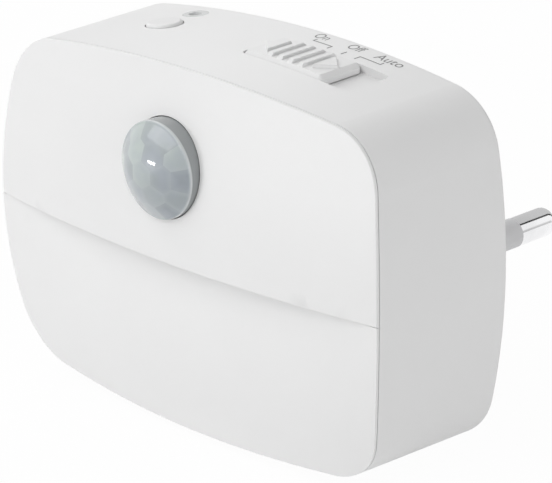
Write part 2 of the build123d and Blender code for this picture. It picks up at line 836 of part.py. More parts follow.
# ---------------------------------------------------------------- push button
button_flange_radius = button_diameter / 2 + button_gap + button_flange
button_flange_top = top_z(abs(button_x) + button_flange_radius, button_y, wall) - button_rest_gap
button_flange_bottom = button_flange_top - button_flange_thickness
tact_plunger_top = button_flange_bottom - button_stem_length
tact_cover_top = tact_plunger_top - tact_plunger_height
tact_body_top = tact_cover_top - tact_cover_thickness
tact_body_bottom = tact_body_top - tact_body_height
tact_depth = 2 * (board_front_y - button_y)


def make_brightness_button():
    """Round cap that follows the top's slope, with a retaining flange and a short stem."""
    cap = rod_z(button_x, button_y, button_flange_top, far, button_diameter) & under_top(button_proud)
    cap = fillet(top_edges(cap), button_edge_round)
    cap += rod_z(button_x, button_y, button_flange_bottom, button_flange_top, 2 * button_flange_radius)
    return cap + rod_z(button_x, button_y, tact_plunger_top, button_flange_bottom, button_stem_diameter)


def make_tact_plunger():
    """Plunger of the push switch."""
    low = tact_body_top - tact_plunger_depth
    return rod_z(button_x, button_y, low, tact_plunger_top, tact_plunger_diameter)


def make_tact_body():
    """Push switch body with a well for the plunger."""
    body = bar_z(button_x, button_y, tact_size, tact_depth, tact_body_bottom, tact_body_top)
    well = tact_body_top - tact_plunger_depth - button_travel - part_gap
    hole = tact_plunger_diameter + 2 * part_gap
    return body - rod_z(button_x, button_y, well, tact_body_top + wall, hole)


def make_tact_cover():
    """Metal plate on the push switch."""
    plate = bar_z(button_x, button_y, tact_size, tact_depth, tact_body_top, tact_cover_top)
    hole = tact_plunger_diameter + 2 * part_gap
    return plate - rod_z(button_x, button_y, tact_body_top - wall, tact_cover_top + wall, hole)


# ---------------------------------------------------------------- light sensor
window_flange_bottom = (
    top_z(abs(window_x) + light_window_diameter / 2 + light_window_flange, window_y, wall)
    - light_window_flange_thickness
)
photocell_top = window_flange_bottom - photocell_gap
photocell_bottom = photocell_top - photocell_height


def make_light_window():
    """Clear window in the top wall, flush outside with a dimple, flanged inside."""
    stem = rod_z(window_x, window_y, window_flange_bottom, far, light_window_diameter)
    window = stem & body_block(y_front, y_back)
    flange_diameter = light_window_diameter + 2 * light_window_flange
    flange = rod_z(window_x, window_y, window_flange_bottom, far, flange_diameter)
    window += flange & body_block(y_front, y_back, wall + face_touch)
    dimple_z = top_z(window_x, window_y) - light_window_dimple
    return window - rod_z(window_x, window_y, dimple_z, far, light_window_lens)


def photocell_lead_xs():
    """X of the photocell's two leads."""
    return [window_x + side * photocell_lead_pitch / 2 for side in (-1, 1)]


photocell_lead_z = photocell_bottom - photocell_lead_drop


def make_light_sensor():
    """Photocell facing up, with two leads bent into the board."""
    cell = rod_z(window_x, window_y, photocell_bottom, photocell_top, photocell_diameter)
    for x in photocell_lead_xs():
        cell += rod_z(x, window_y, photocell_lead_z, photocell_bottom, photocell_lead_diameter)
        cell += rod_y(x, photocell_lead_z, board_front_y - lead_tail, window_y, photocell_lead_diameter)
        cell += Pos(x, window_y, photocell_lead_z) * Sphere(photocell_lead_diameter / 2)
    return cell


# ---------------------------------------------------------------- light source
led_half = half_width - led_board_side_margin
led_bottom = z_body - half_height + led_board_bottom_margin
led_top = led_bottom + led_board_height
led_mid_z = (led_bottom + led_top) / 2
led_back_y = board_front_y - led_board_gap
led_front_y = led_back_y - led_board_thickness


def led_places():
    """X and Z of the light-emitting packages, in evenly spread rows."""
    columns = led_count // led_rows
    step = 2 * led_half / columns
    return [
        (-led_half + step * (column + 0.5), led_mid_z + led_row_pitch * (row - (led_rows - 1) / 2))
        for column in range(columns)
        for row in range(led_rows)
    ]


def header_places():
    """X of the header's pins."""
    first = -header_pitch * (header_pin_count - 1) / 2
    return [first + header_pitch * index for index in range(header_pin_count)]


def make_led_board():
    """Board behind the diffuser that carries the light-emitting packages."""
    board = block(-led_half, led_half, led_front_y, led_back_y, led_bottom, led_top)
    hole = header_pin_width + 2 * face_touch
    for x in header_places():
        board -= bar_y(x, led_mid_z, hole, hole, led_front_y - wall, led_back_y + wall)
    return board


def make_led_packages():
    """The light-emitting packages, soldered face to face on their board."""
    y = led_front_y - led_thickness
    return Compound([bar_y(x, z, led_length, led_width, y, led_front_y) for x, z in led_places()])


def tray_section(y, grow):
    """Rectangle of the reflector at y, larger than the board by grow on each side."""
    plane = Plane(origin=(0, y, led_mid_z), x_dir=(1, 0, 0), z_dir=(0, -1, 0))
    return plane * Rectangle(2 * (led_half + grow), led_board_height + 2 * grow)


def make_led_reflector():
    """White tray with flared walls and a window for each package."""
    front = led_front_y - reflector_depth
    floor = led_front_y - reflector_floor
    tray = loft([tray_section(led_front_y, 0.0), tray_section(front, reflector_flare)], ruled=True)
    mouth_flare = reflector_flare * (1 + wall / reflector_depth) - reflector_wall
    tray -= loft([tray_section(floor, -reflector_wall), tray_section(front - wall, mouth_flare)], ruled=True)
    margin = 2 * reflector_window_margin
    for x, z in led_places():
        tray -= bar_y(x, z, led_length + margin, led_width + margin, front, led_front_y + wall)
    return tray


def make_board_header():
    """Pin header between the two boards: square pins through a plastic bar."""
    length = header_pitch * header_pin_count
    bar = bar_y(0, led_mid_z, length, header_bar_width, board_front_y - header_bar_width, board_front_y)
    for x in header_places():
        bar += bar_y(x, led_mid_z, header_pin_width, header_pin_width, led_front_y, board_back_y + lead_tail)
    return bar


# ---------------------------------------------------------------- main board and its parts
chip_x = board_half - chip_side_inset
chip_z = z_body + chip_rise
rectifier_z = pad_top - pad_wall_margin - rectifier_width / 2
fuse_z = rectifier_z
film_z = pad_bottom + pad_wall_margin + film_depth / 2
cap_z = pad_bottom + pad_wall_margin + can_cap_diameter / 2
cap_y = board_back_y + part_gap + can_cap_diameter / 2
film_x = -film_length / 2 - part_spacing / 2
cap_lead_x = part_spacing / 2
cap_start_x = cap_lead_x + can_cap_lead_reach
fuse_x = fuse_lead_pitch / 2 + part_spacing / 2
rectifier_x = -rectifier_length / 2 - part_spacing


def lead_places():
    """X, Z and diameter of each round lead that runs through the main board."""
    places = [(x, z, sensor_lead_diameter) for x, z in pir_lead_places()]
    places += [(x, photocell_lead_z, photocell_lead_diameter) for x in photocell_lead_xs()]
    for side in (-1, 1):
        places.append((film_x + side * film_lead_pitch / 2, film_z, part_lead_diameter))
        places.append((fuse_x + side * fuse_lead_pitch / 2, fuse_z, fuse_lead_diameter))
        places.append((cap_lead_x, cap_z + side * can_cap_lead_pitch / 2, part_lead_diameter))
    return places


def make_main_board():
    """Upright main board with holes for every lead, tab and screw."""
    plane = Plane(origin=(0, board_back_y, (board_top + board_bottom) / 2), x_dir=(1, 0, 0), z_dir=(0, -1, 0))
    shape = RectangleRounded(2 * board_half, board_top - board_bottom, board_corner_radius)
    board = extrude(plane * shape, amount=board_thickness)
    y0 = board_front_y - wall
    y1 = board_back_y + wall
    for x, z, diameter in lead_places():
        board -= rod_y(x, z, y0, y1, diameter + 2 * face_touch)
    for x, z in board_post_places():
        board -= rod_y(x, z, y0, y1, screw_diameter + 2 * screw_clearance)
    play = 2 * face_touch
    for x in header_places():
        board -= bar_y(x, led_mid_z, header_pin_width + play, header_pin_width + play, y0, y1)
    for x in terminal_xs():
        board -= bar_y(x, terminal_z, terminal_width + play, terminal_metal + play, y0, y1)
    tab_z = strip_z - strip_thickness / 2
    for side in (-1, 1):
        board -= bar_y(side * pin_pitch / 2, tab_z, strip_tab_width + play, strip_thickness + play, y0, y1)
    return board


def make_controller_chip():
    """Controller with two rows of leads, on the front of the board."""
    y1 = board_front_y - chip_stand
    body = bar_y(chip_x, chip_z, chip_length, chip_width, y1 - chip_thickness, y1)
    first = chip_x - chip_lead_pitch * (chip_lead_count - 1) / 2
    span = chip_width + 2 * chip_lead_reach
    for index in range(chip_lead_count):
        x = first + chip_lead_pitch * index
        body += bar_y(x, chip_z, chip_lead_width, span, y1 - chip_lead_metal, board_front_y)
    return body


def make_bridge_rectifier():
    """Rectifier on the back of the board, with two tabs on each side."""
    y0 = board_back_y + chip_stand
    body = bar_y(rectifier_x, rectifier_z, rectifier_length, rectifier_width, y0, y0 + rectifier_thickness)
    span = rectifier_width + 2 * chip_lead_reach
    for side in (-1, 1):
        x = rectifier_x + side * rectifier_length / 4
        body += bar_y(x, rectifier_z, terminal_width, span, board_back_y, y0 + chip_lead_metal)
    return body


def make_fuse_resistor():
    """Fusible resistor lying on the back of the board, its leads bent through it."""
    y = board_back_y + part_gap + fuse_diameter / 2
    body = rod_x(fuse_x - fuse_length / 2, fuse_x + fuse_length / 2, y, fuse_z, fuse_diameter)
    body += rod_x(fuse_x - fuse_lead_pitch / 2, fuse_x + fuse_lead_pitch / 2, y, fuse_z, fuse_lead_diameter)
    for side in (-1, 1):
        x = fuse_x + side * fuse_lead_pitch / 2
        body += rod_y(x, fuse_z, board_front_y - lead_tail, y, fuse_lead_diameter)
        body += Pos(x, y, fuse_z) * Sphere(fuse_lead_diameter / 2)
    return body


def make_film_capacitor():
    """Box film capacitor standing on the back of the board, inside the stand-off pad."""
    y0 = board_back_y + part_gap
    body = bar_y(film_x, film_z, film_length, film_depth, y0, y0 + film_width)
    body = fillet(body.edges().group_by(Axis.Y)[-1] + body.edges().filter_by(Axis.Y), film_edge_round)
    for side in (-1, 1):
        x = film_x + side * film_lead_pitch / 2
        body += rod_y(x, film_z, board_front_y - lead_tail, y0 + part_gap, part_lead_diameter)
    return body


def make_electrolytic_capacitor():
    """Can capacitor lying on the back of the board, with a crimped groove and bent leads."""
    radius = can_cap_diameter / 2
    groove = can_cap_groove
    points = [
        (0, 0), (0, radius), (2 * groove, radius), (3 * groove, radius - groove), (4 * groove, radius),
        (can_cap_length, radius), (can_cap_length, 0),
    ]
    can = Pos(cap_start_x, cap_y, cap_z) * revolve(make_face(Polyline(*points, close=True)), Axis.X)
    for side in (-1, 1):
        z = cap_z + side * can_cap_lead_pitch / 2
        can += rod_x(cap_lead_x, cap_start_x + can_cap_groove, cap_y, z, part_lead_diameter)
        can += rod_y(cap_lead_x, z, board_front_y - lead_tail, cap_y, part_lead_diameter)
        can += Pos(cap_lead_x, cap_y, z) * Sphere(part_lead_diameter / 2)
    return can


# ---------------------------------------------------------------- screws
def make_screw(x, z, head_y, reach, back):
    """Pan-headed screw along Y: back is +1 when its head faces +Y, -1 when it faces -Y."""
    head_end = head_y + back * screw_head_height
    shank_end = head_y - back * reach
    low, high = sorted((head_y, head_end))
    head = rod_y(x, z, low, high, screw_head_diameter)
    head = chamfer(head.edges().sort_by(Axis.Y)[-1 if back > 0 else 0], screw_head_chamfer)
    low, high = sorted((head_y, shank_end))
    screw = head + rod_y(x, z, low, high, screw_diameter)
    across = screw_head_diameter - 2 * screw_head_chamfer
    low, high = sorted((head_end, head_end - back * screw_slot_depth))
    for width, height in ((across, screw_slot), (screw_slot, across)):
        screw -= bar_y(x, z, width, height, low, high)
    return screw


def make_case_screws():
    """Screws from the back through the rear cover into the housing's posts."""
    head_y = y_back - screw_head_height
    return Compound([make_screw(x, z, head_y, screw_length - wall, 1) for x, z in case_post_places()])


def make_board_screws():
    """Screws from the front through the main board into the rear cover's posts."""
    reach = screw_length - board_thickness
    return Compound([make_screw(x, z, board_front_y, reach, -1) for x, z in board_post_places()])


def main():
    """Build every piece and write one file for each."""
    pieces = {
        "housing_shell": make_housing_shell(),
        "front_panel": make_front_panel(),
        "diffuser": make_diffuser(),
        "rear_cover": make_rear_cover(),
        "plug_base": make_plug_base(),
        "plug_pin_left": make_plug_pin(-1),
        "plug_pin_right": make_plug_pin(1),
        "pin_sleeve_left": make_pin_sleeve(-1),
        "pin_sleeve_right": make_pin_sleeve(1),
        "contact_strip_left": make_contact_strip(-1),
        "contact_strip_right": make_contact_strip(1),
        "sensor_lens": make_sensor_lens(),
        "lens_retainer": make_lens_retainer(),
        "pir_can": make_pir_can(),
        "pir_window": make_pir_window(),
        "pir_header": make_pir_header(),
        "pir_spacer": make_pir_spacer(),
        "slide_switch_base": make_slide_switch_base(),
        "slide_switch_frame": make_slide_switch_frame(),
        "slide_switch_terminals": make_slide_switch_terminals(),
        "slide_switch_contact": make_slide_switch_contact(),
        "slide_switch_actuator": make_slide_switch_actuator(),
        "slide_knob": make_slide_knob(),
        "brightness_button": make_brightness_button(),
        "tact_switch_plunger": make_tact_plunger(),
        "tact_switch_body": make_tact_body(),
        "tact_switch_cover": make_tact_cover(),
        "light_sensor_window": make_light_window(),
        "light_sensor": make_light_sensor(),
        "led_board": make_led_board(),
        "led_packages": make_led_packages(),
        "led_reflector": make_led_reflector(),
        "board_header": make_board_header(),
        "main_board": make_main_board(),
        "controller_chip": make_controller_chip(),
        "bridge_rectifier": make_bridge_rectifier(),
        "fuse_resistor": make_fuse_resistor(),
        "film_capacitor": make_film_capacitor(),
        "electrolytic_capacitor": make_electrolytic_capacitor(),
        "case_screws": make_case_screws(),
        "board_screws": make_board_screws(),
    }
    os.makedirs("parts", exist_ok=True)
    for name, shape in pieces.items():
        export_step(shape, f"parts/{name}.step")
        print(name, len(shape.solids()), round(shape.volume, 2))


if __name__ == "__main__":
    main()
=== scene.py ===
"""Looks of a plug in night light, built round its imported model.

Sizes of pieces are in millimetres, and those of finishes and of the studio are in metres. A mesh is
scaled to metres when it is made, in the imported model's frame: +X to the right seen from the front,
+Y back along the plug's pins, +Z up, with the origin between the pins.
"""
import json
import logging
import math
from dataclasses import dataclass
from enum import Enum
from typing import Optional, Sequence, Union

import bpy
import numpy as np
from mathutils import Matrix, Vector


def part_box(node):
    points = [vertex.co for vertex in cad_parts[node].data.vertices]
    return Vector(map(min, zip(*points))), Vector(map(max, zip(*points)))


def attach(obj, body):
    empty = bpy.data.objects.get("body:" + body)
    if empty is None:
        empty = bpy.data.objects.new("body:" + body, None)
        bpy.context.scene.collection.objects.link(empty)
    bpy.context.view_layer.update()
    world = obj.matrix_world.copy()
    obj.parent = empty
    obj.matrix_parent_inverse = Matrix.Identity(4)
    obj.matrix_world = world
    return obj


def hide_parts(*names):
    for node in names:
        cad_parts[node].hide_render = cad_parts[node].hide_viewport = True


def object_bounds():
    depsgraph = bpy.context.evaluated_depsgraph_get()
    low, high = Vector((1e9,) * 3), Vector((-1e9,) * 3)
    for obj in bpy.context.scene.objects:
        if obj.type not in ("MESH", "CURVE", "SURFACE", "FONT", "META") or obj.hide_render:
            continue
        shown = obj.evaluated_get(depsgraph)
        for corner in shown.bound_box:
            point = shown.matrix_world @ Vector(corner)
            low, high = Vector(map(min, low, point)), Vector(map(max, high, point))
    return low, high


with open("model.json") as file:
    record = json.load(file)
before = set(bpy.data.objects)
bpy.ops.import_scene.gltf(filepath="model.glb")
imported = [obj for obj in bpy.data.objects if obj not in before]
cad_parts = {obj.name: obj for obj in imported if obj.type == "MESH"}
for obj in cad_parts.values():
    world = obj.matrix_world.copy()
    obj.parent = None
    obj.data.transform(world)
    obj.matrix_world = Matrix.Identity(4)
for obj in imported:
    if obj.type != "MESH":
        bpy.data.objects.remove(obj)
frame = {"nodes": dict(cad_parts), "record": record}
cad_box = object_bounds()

log = logging.getLogger("night_light")
MM = 0.001
Numbers = Union[float, np.ndarray]
Colour = tuple[float, float, float]
Point = tuple[float, float, float]
Range = tuple[float, float]
Key = Union[str, int]


class Body(Enum):
    """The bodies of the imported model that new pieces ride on."""

    LIGHT = "light"
    SLIDER = "slider"


class Slot(Enum):
    """The record's material slots that the new pieces are listed with."""

    LENS = "lens_milky"
    KNOB = "knob_white"
    SATIN = "white_satin"


# ------------------------------------------------------------------------------ shader arithmetic
Value = Union["Wire", float, int, Sequence[float]]


@dataclass(frozen=True)
class Wire:
    """An output socket that Python arithmetic extends with Math nodes."""

    shader: "Shader"
    socket: bpy.types.NodeSocket

    def _math(self, operation: str, *values: Value) -> "Wire":
        """A Math node on the values, in their order."""
        return self.shader.node("ShaderNodeMath", {"operation": operation}, dict(enumerate(values)))

    def __add__(self, other: Value) -> "Wire":
        """This plus other."""
        return self._math("ADD", self, other)

    def __sub__(self, other: Value) -> "Wire":
        """This minus other."""
        return self._math("SUBTRACT", self, other)

    def __rsub__(self, other: Value) -> "Wire":
        """Other minus this."""
        return self._math("SUBTRACT", other, self)

    def __mul__(self, other: Value) -> "Wire":
        """This times other."""
        return self._math("MULTIPLY", self, other)

    __radd__ = __add__
    __rmul__ = __mul__

    def largest(self, other: Value) -> "Wire":
        """The larger of this and other."""
        return self._math("MAXIMUM", self, other)

    def smallest(self, other: Value) -> "Wire":
        """The smaller of this and other."""
        return self._math("MINIMUM", self, other)

    def above(self, other: Value) -> "Wire":
        """One where this is greater than other, and nought elsewhere."""
        return self._math("GREATER_THAN", self, other)

    def span(self, low: float, high: float, start: float = 0.0, end: float = 1.0) -> "Wire":
        """This mapped smoothly from low..high to start..end and held at the ends."""
        values = {"Value": self, "From Min": low, "From Max": high, "To Min": start, "To Max": end}
        return self.shader.node("ShaderNodeMapRange", {"interpolation_type": "SMOOTHSTEP"}, values)


class Shader:
    """The node tree of a material or a world, and the few calls that fill it."""

    def __init__(self, owner: Union[bpy.types.Material, bpy.types.World]) -> None:
        """Start an empty tree.

        Args:
            owner: The material or world that shows it.
        """
        owner.use_nodes = True
        self.tree = owner.node_tree
        self.tree.nodes.clear()

    def add(
        self,
        kind: str,
        settings: Optional[dict[str, object]] = None,
        values: Optional[dict[Key, Value]] = None,
    ) -> bpy.types.Node:
        """Add one node.

        Args:
            kind: The node's type.
            settings: Its own settings, set before its sockets.
            values: What each input socket, by name or place, gets: a number, a colour or a wire.

        Returns:
            The node.
        """
        node = self.tree.nodes.new(kind)
        for name, setting in (settings or {}).items():
            setattr(node, name, setting)
        for key, value in (values or {}).items():
            if isinstance(value, Wire):
                self.tree.links.new(value.socket, node.inputs[key])
            else:
                node.inputs[key].default_value = value
        return node

    def node(
        self,
        kind: str,
        settings: Optional[dict[str, object]] = None,
        values: Optional[dict[Key, Value]] = None,
        output: Key = 0,
    ) -> Wire:
        """One output, by name or place, of a new node that is added as add() says."""
        return Wire(self, self.add(kind, settings, values).outputs[output])

    def place(self) -> Wire:
        """The point of the surface in its object's frame, in metres."""
        return self.node("ShaderNodeTexCoord", output="Object")

    def noise(
        self, place: Wire, per_metre: float, detail: float = 2.0, roughness: float = 0.5
    ) -> Wire:
        """Cloudy noise from nought to one with so many bumps to the metre."""
        values = {"Vector": place, "Scale": per_metre, "Detail": detail, "Roughness": roughness}
        return self.node("ShaderNodeTexNoise", values=values, output="Fac")

    def mix(self, factor: Value, first: Value, second: Value) -> Wire:
        """The first colour with the second put over it by the factor."""
        values = {0: factor, 6: first, 7: second}
        return self.node("ShaderNodeMix", {"data_type": "RGBA"}, values, 2)

    def dot(self, place: Wire, direction: Point) -> Wire:
        """How far the vector reaches along a direction."""
        settings, values = {"operation": "DOT_PRODUCT"}, {0: place, 1: direction}
        return self.node("ShaderNodeVectorMath", settings, values, "Value")

    def bump(self, height: Wire, distance: float) -> Wire:
        """Normal of a surface whose height is the wire times a distance."""
        values = {"Height": height, "Distance": distance, "Strength": 1.0}
        return self.node("ShaderNodeBump", values=values)

    def surface(self, values: dict[Key, Value]) -> None:
        """Close the tree with one Principled surface whose sockets get the values."""
        self.end(self.node("ShaderNodeBsdfPrincipled", values=values))

    def end(self, skin: Wire, output: str = "ShaderNodeOutputMaterial") -> None:
        """Send a surface or a background to the tree's output."""
        self.add(output, values={"Surface": skin})

    def mirrored(self) -> Wire:
        """One where a reflection or a clear piece sees this, and nought elsewhere."""
        glossy = self.node("ShaderNodeLightPath", output="Is Glossy Ray")
        return glossy.largest(self.node("ShaderNodeLightPath", output="Is Transmission Ray"))

    def seen(self) -> Wire:
        """One where the camera, a reflection or a clear piece sees this, and nought elsewhere."""
        return self.mirrored().largest(self.node("ShaderNodeLightPath", output="Is Camera Ray"))


def grey(level: float) -> Colour:
    """A colour with equal channels."""
    return (level, level, level)


def paint(colour: Colour, share: float = 1.0) -> tuple[float, float, float, float]:
    """A share of a colour with full opacity, as a colour socket takes it."""
    red, green, blue = colour
    return (red * share, green * share, blue * share, 1.0)


# ------------------------------------------------------------------------------ finishes
@dataclass(frozen=True)
class Finish:
    """A named finish, whose kind says how it fills a material's tree."""

    name: str

    def fill(self, shader: Shader) -> None:
        """Write the finish's nodes into an empty tree."""
        raise NotImplementedError(self.name)

    def material(self) -> bpy.types.Material:
        """Make a material of the finish.

        Returns:
            The material, which has the finish's name.
        """
        material = bpy.data.materials.new(self.name)
        self.fill(Shader(material))
        return material


@dataclass(frozen=True)
class MouldedPlastic(Finish):
    """Injection moulded plastic: a fine eroded texture, and a faint cloud in colour and gloss."""

    colour: Colour
    roughness: float = 0.42
    texture_per_metre: float = 2600.0
    texture_depth: float = 0.000012
    texture_detail: float = 4.0
    texture_roughness: float = 0.6
    texture_gloss: float = 0.04
    cloud_per_metre: float = 55.0
    cloud_levels: Range = (0.2, 0.8)
    cloud_shade: float = 0.97
    cloud_gloss: float = 0.03
    coat: float = 0.0
    coat_roughness: float = 0.08

    def fill(self, shader: Shader) -> None:
        """Write the plastic's nodes.

        Args:
            shader: The empty tree.
        """
        place = shader.place()
        cloud = shader.noise(place, self.cloud_per_metre)
        grain = shader.noise(
            place, self.texture_per_metre, self.texture_detail, self.texture_roughness
        )
        shaded = paint(self.colour, self.cloud_shade)
        glosses = (self.roughness - self.cloud_gloss, self.roughness + self.cloud_gloss)
        gloss = cloud.span(*self.cloud_levels, *glosses)
        shader.surface(
            {
                "Base Color": shader.mix(cloud, shaded, paint(self.colour)),
                "Roughness": gloss + grain * self.texture_gloss,
                "Coat Weight": self.coat,
                "Coat Roughness": self.coat_roughness,
                "Normal": shader.bump(grain, self.texture_depth),
            }
        )


@dataclass(frozen=True)
class Metal(Finish):
    """Bare or plated metal with faint stains and the marks of drawing or rolling along one axis."""

    colour: Colour
    roughness: float = 0.2
    line_scale: Point = (900.0, 60.0, 900.0)
    line_depth: float = 0.000003
    line_gloss: float = 0.06
    stain_per_metre: float = 140.0
    stain_levels: Range = (0.35, 0.75)
    stain_shade: float = 0.88
    stain_gloss: float = 0.04

    def fill(self, shader: Shader) -> None:
        """Write the metal's nodes.

        Args:
            shader: The empty tree.
        """
        place = shader.place()
        scaled = {"Vector": place, "Scale": self.line_scale}
        drawn = shader.node("ShaderNodeMapping", values=scaled)
        lines = shader.noise(drawn, 1.0, detail=3.0, roughness=0.6)
        stain = shader.noise(place, self.stain_per_metre, detail=3.0)
        stained = paint(self.colour, self.stain_shade)
        shader.surface(
            {
                "Base Color": shader.mix(
                    stain.span(*self.stain_levels), paint(self.colour), stained
                ),
                "Metallic": 1.0,
                "Roughness": self.roughness + lines * self.line_gloss + stain * self.stain_gloss,
                "Normal": shader.bump(lines, self.line_depth),
            }
        )


@dataclass(frozen=True)
class SolderMask(Finish):
    """Printed board: lacquer over a ground plane, with the faint relief of its tracks."""

    colour: Colour
    track_per_metre: float = 420.0
    track_spread: float = 0.35
    track_edge: Range = (0.05, 0.12)
    track_shade: float = 0.72
    track_share: float = 0.6
    weave_per_metre: float = 3000.0
    weave_gloss: float = 0.12
    roughness: float = 0.28
    relief: float = 0.00003

    def fill(self, shader: Shader) -> None:
        """Write the board's nodes.

        Args:
            shader: The empty tree.
        """
        place = shader.place()
        settings = {"feature": "DISTANCE_TO_EDGE"}
        cells = {"Vector": place, "Scale": self.track_per_metre, "Randomness": self.track_spread}
        track = shader.node("ShaderNodeTexVoronoi", settings, cells).span(*self.track_edge)
        weave = shader.noise(place, self.weave_per_metre)
        height = track * self.track_share + weave * (1.0 - self.track_share)
        darker = paint(self.colour, self.track_shade)
        shader.surface(
            {
                "Base Color": shader.mix(track, paint(self.colour), darker),
                "Roughness": self.roughness + weave * self.weave_gloss,
                "Normal": shader.bump(height, self.relief),
            }
        )


@dataclass(frozen=True)
class PrintedInk(Finish):
    """Pad printed ink, a little worn through."""

    colour: Colour
    bare: Colour = grey(0.78)
    wear_per_metre: float = 4200.0
    wear_levels: Range = (0.62, 0.8)
    wear_most: float = 0.35
    wear_gloss: float = 0.2
    roughness: float = 0.5
    grain_per_metre: float = 9000.0
    grain_depth: float = 0.000008

    def fill(self, shader: Shader) -> None:
        """Write the ink's nodes.

        Args:
            shader: The empty tree.
        """
        place = shader.place()
        wear = shader.noise(place, self.wear_per_metre, detail=3.0)
        wear = wear.span(*self.wear_levels, 0.0, self.wear_most)
        grain = shader.noise(place, self.grain_per_metre)
        shader.surface(
            {
                "Base Color": shader.mix(wear, paint(self.colour), paint(self.bare)),
                "Roughness": self.roughness + wear * self.wear_gloss,
                "Normal": shader.bump(grain, self.grain_depth),
            }
        )


@dataclass(frozen=True)
class FacetedLens(Finish):
    """Milky lens plastic whose inner facets show through as cells of slightly different tints.

    A cell is the part of the dome that lies nearest in direction to one facet's own direction, seen
    from the dome's centre: its reach along that direction is larger than along any other. The dome
    is painted lighter towards its upper left and darker towards its lower right, as painted light
    and shade. Behind the dome the rim is painted darker as painted shade, and a painted highlight
    runs as a light line round the shoulder between the two. Places are in millimetres, and the
    shoulder's and the rim's bands run back from the rim's front.
    """

    centre: Point
    rim_front: float
    facets: tuple[Point, ...]
    tints: tuple[Colour, Colour, Colour] = (
        (0.26, 0.295, 0.315),
        (0.35, 0.39, 0.40),
        (0.47, 0.53, 0.51),
    )
    tone_step: float = 2.4
    tone_start: float = 0.9
    tone_share: float = 0.75
    tie: float = 0.00001
    # painted light and shade: the dome's upper left is painted lighter and its lower right darker
    painted_light_side: Point = (-0.5, 0.0, 0.4)
    painted_light_reach: float = 0.35
    painted_light_levels: Range = (-0.15, 0.35)
    cloud_tint: Colour = (0.35, 0.38, 0.45)
    cloud_scale: float = 3.0
    cloud_levels: Range = (0.35, 0.7)
    cloud_most: float = 0.4
    cloud_gloss: float = 0.05
    ridge_tint: Colour = (0.46, 0.49, 0.50)
    ridge_width: float = 0.03
    ridge_share: float = 0.2
    ridge_height: float = 0.00002
    # painted highlight: a light ring on the lens's rounded shoulder
    shoulder_highlight_tint: Colour = (0.56, 0.59, 0.60)
    shoulder_highlight_band: Range = (-0.352, -0.088)
    # painted shade: the rim behind the dome is painted darker
    rim_painted_shade_tint: Colour = (0.27, 0.285, 0.29)
    rim_painted_shade_band: Range = (0.0, 0.22)
    roughness: float = 0.34
    coat_roughness: float = 0.06

    def cells(self, shader: Shader, arm: Wire) -> tuple[Wire, Wire]:
        """Each cell's tone and the ridge between neighbouring cells.

        A tone is half of one plus the sine of an angle that grows by an even step from cell to
        cell. The ridge is where the largest and the second largest reach are nearly alike.

        Args:
            shader: The tree that is filled.
            arm: Direction from the dome's centre.

        Returns:
            The tone from nought to one, and one on a ridge and nought away from it.
        """
        reaches = [shader.dot(arm, facet) for facet in self.facets]
        best, second = reaches[0].largest(reaches[1]), reaches[0].smallest(reaches[1])
        for reach in reaches[2:]:
            second = second.largest(best.smallest(reach))
            best = best.largest(reach)
        tones = [
            (1.0 + math.sin(self.tone_start + self.tone_step * index)) / 2
            for index in range(len(reaches))
        ]
        tone = sum(reach.above(best - self.tie) * level for reach, level in zip(reaches, tones))
        return tone, (best - second).span(0.0, self.ridge_width, 1.0, 0.0)

    def fill(self, shader: Shader) -> None:
        """Write the lens's nodes.

        Args:
            shader: The empty tree.
        """
        place = shader.place()
        shift = {"Vector": place, "Location": tuple(-value * MM for value in self.centre)}
        arm = shader.node("ShaderNodeMapping", values=shift)
        arm = shader.node("ShaderNodeVectorMath", {"operation": "NORMALIZE"}, {0: arm})
        tone, ridge = self.cells(shader, arm)
        # painted light and shade: lighter towards the upper left, darker towards the lower right,
        # added to the cell tones
        side = shader.dot(arm, self.painted_light_side)
        side = side.span(-self.painted_light_reach, self.painted_light_reach, *self.painted_light_levels)
        tone_and_painted_light = tone * self.tone_share + side
        cloud = shader.noise(arm, self.cloud_scale)
        clouded = cloud.span(*self.cloud_levels, 0.0, self.cloud_most)
        behind = shader.dot(place, (0.0, 1.0 / MM, 0.0)) - self.rim_front
        low, middle, high = (paint(tint) for tint in self.tints)
        colour = shader.mix(tone_and_painted_light.span(0.0, 0.5), low, middle)
        colour = shader.mix(tone_and_painted_light.span(0.5, 1.0), colour, high)
        colour = shader.mix(clouded, colour, paint(self.cloud_tint))
        colour = shader.mix(ridge * self.ridge_share, colour, paint(self.ridge_tint))
        # painted highlight: a light ring round the shoulder
        colour = shader.mix(behind.span(*self.shoulder_highlight_band), colour, paint(self.shoulder_highlight_tint))
        # painted shade: the rim behind the dome is painted darker
        colour = shader.mix(behind.span(*self.rim_painted_shade_band), colour, paint(self.rim_painted_shade_tint))
        shader.surface(
            {
                "Base Color": colour,
                "Roughness": self.roughness + cloud * self.cloud_gloss,
                "Coat Weight": 1.0,
                "Coat Roughness": self.coat_roughness,
                "Normal": shader.bump(ridge, self.ridge_height),
            }
        )


# ------------------------------------------------------------------------------ surfaces
def circle_angles(steps: int) -> np.ndarray:
    """Evenly spread angles once round a circle."""
    return np.arange(steps) * (2.0 * np.pi / steps)


def tilted(tilt: Numbers, turn: Numbers) -> np.ndarray:
    """Directions tilted from straight ahead by one angle and turned about it by another."""
    x, z = np.sin(tilt) * np.cos(turn), np.sin(tilt) * np.sin(turn)
    return np.stack(np.broadcast_arrays(x, -np.cos(tilt), z), -1)


def rim_of(grid: np.ndarray) -> np.ndarray:
    """The border of a grid of indices or points, once round."""
    return np.concatenate([grid[:-1, 0], grid[-1, :-1], grid[:0:-1, -1], grid[0, :0:-1]])


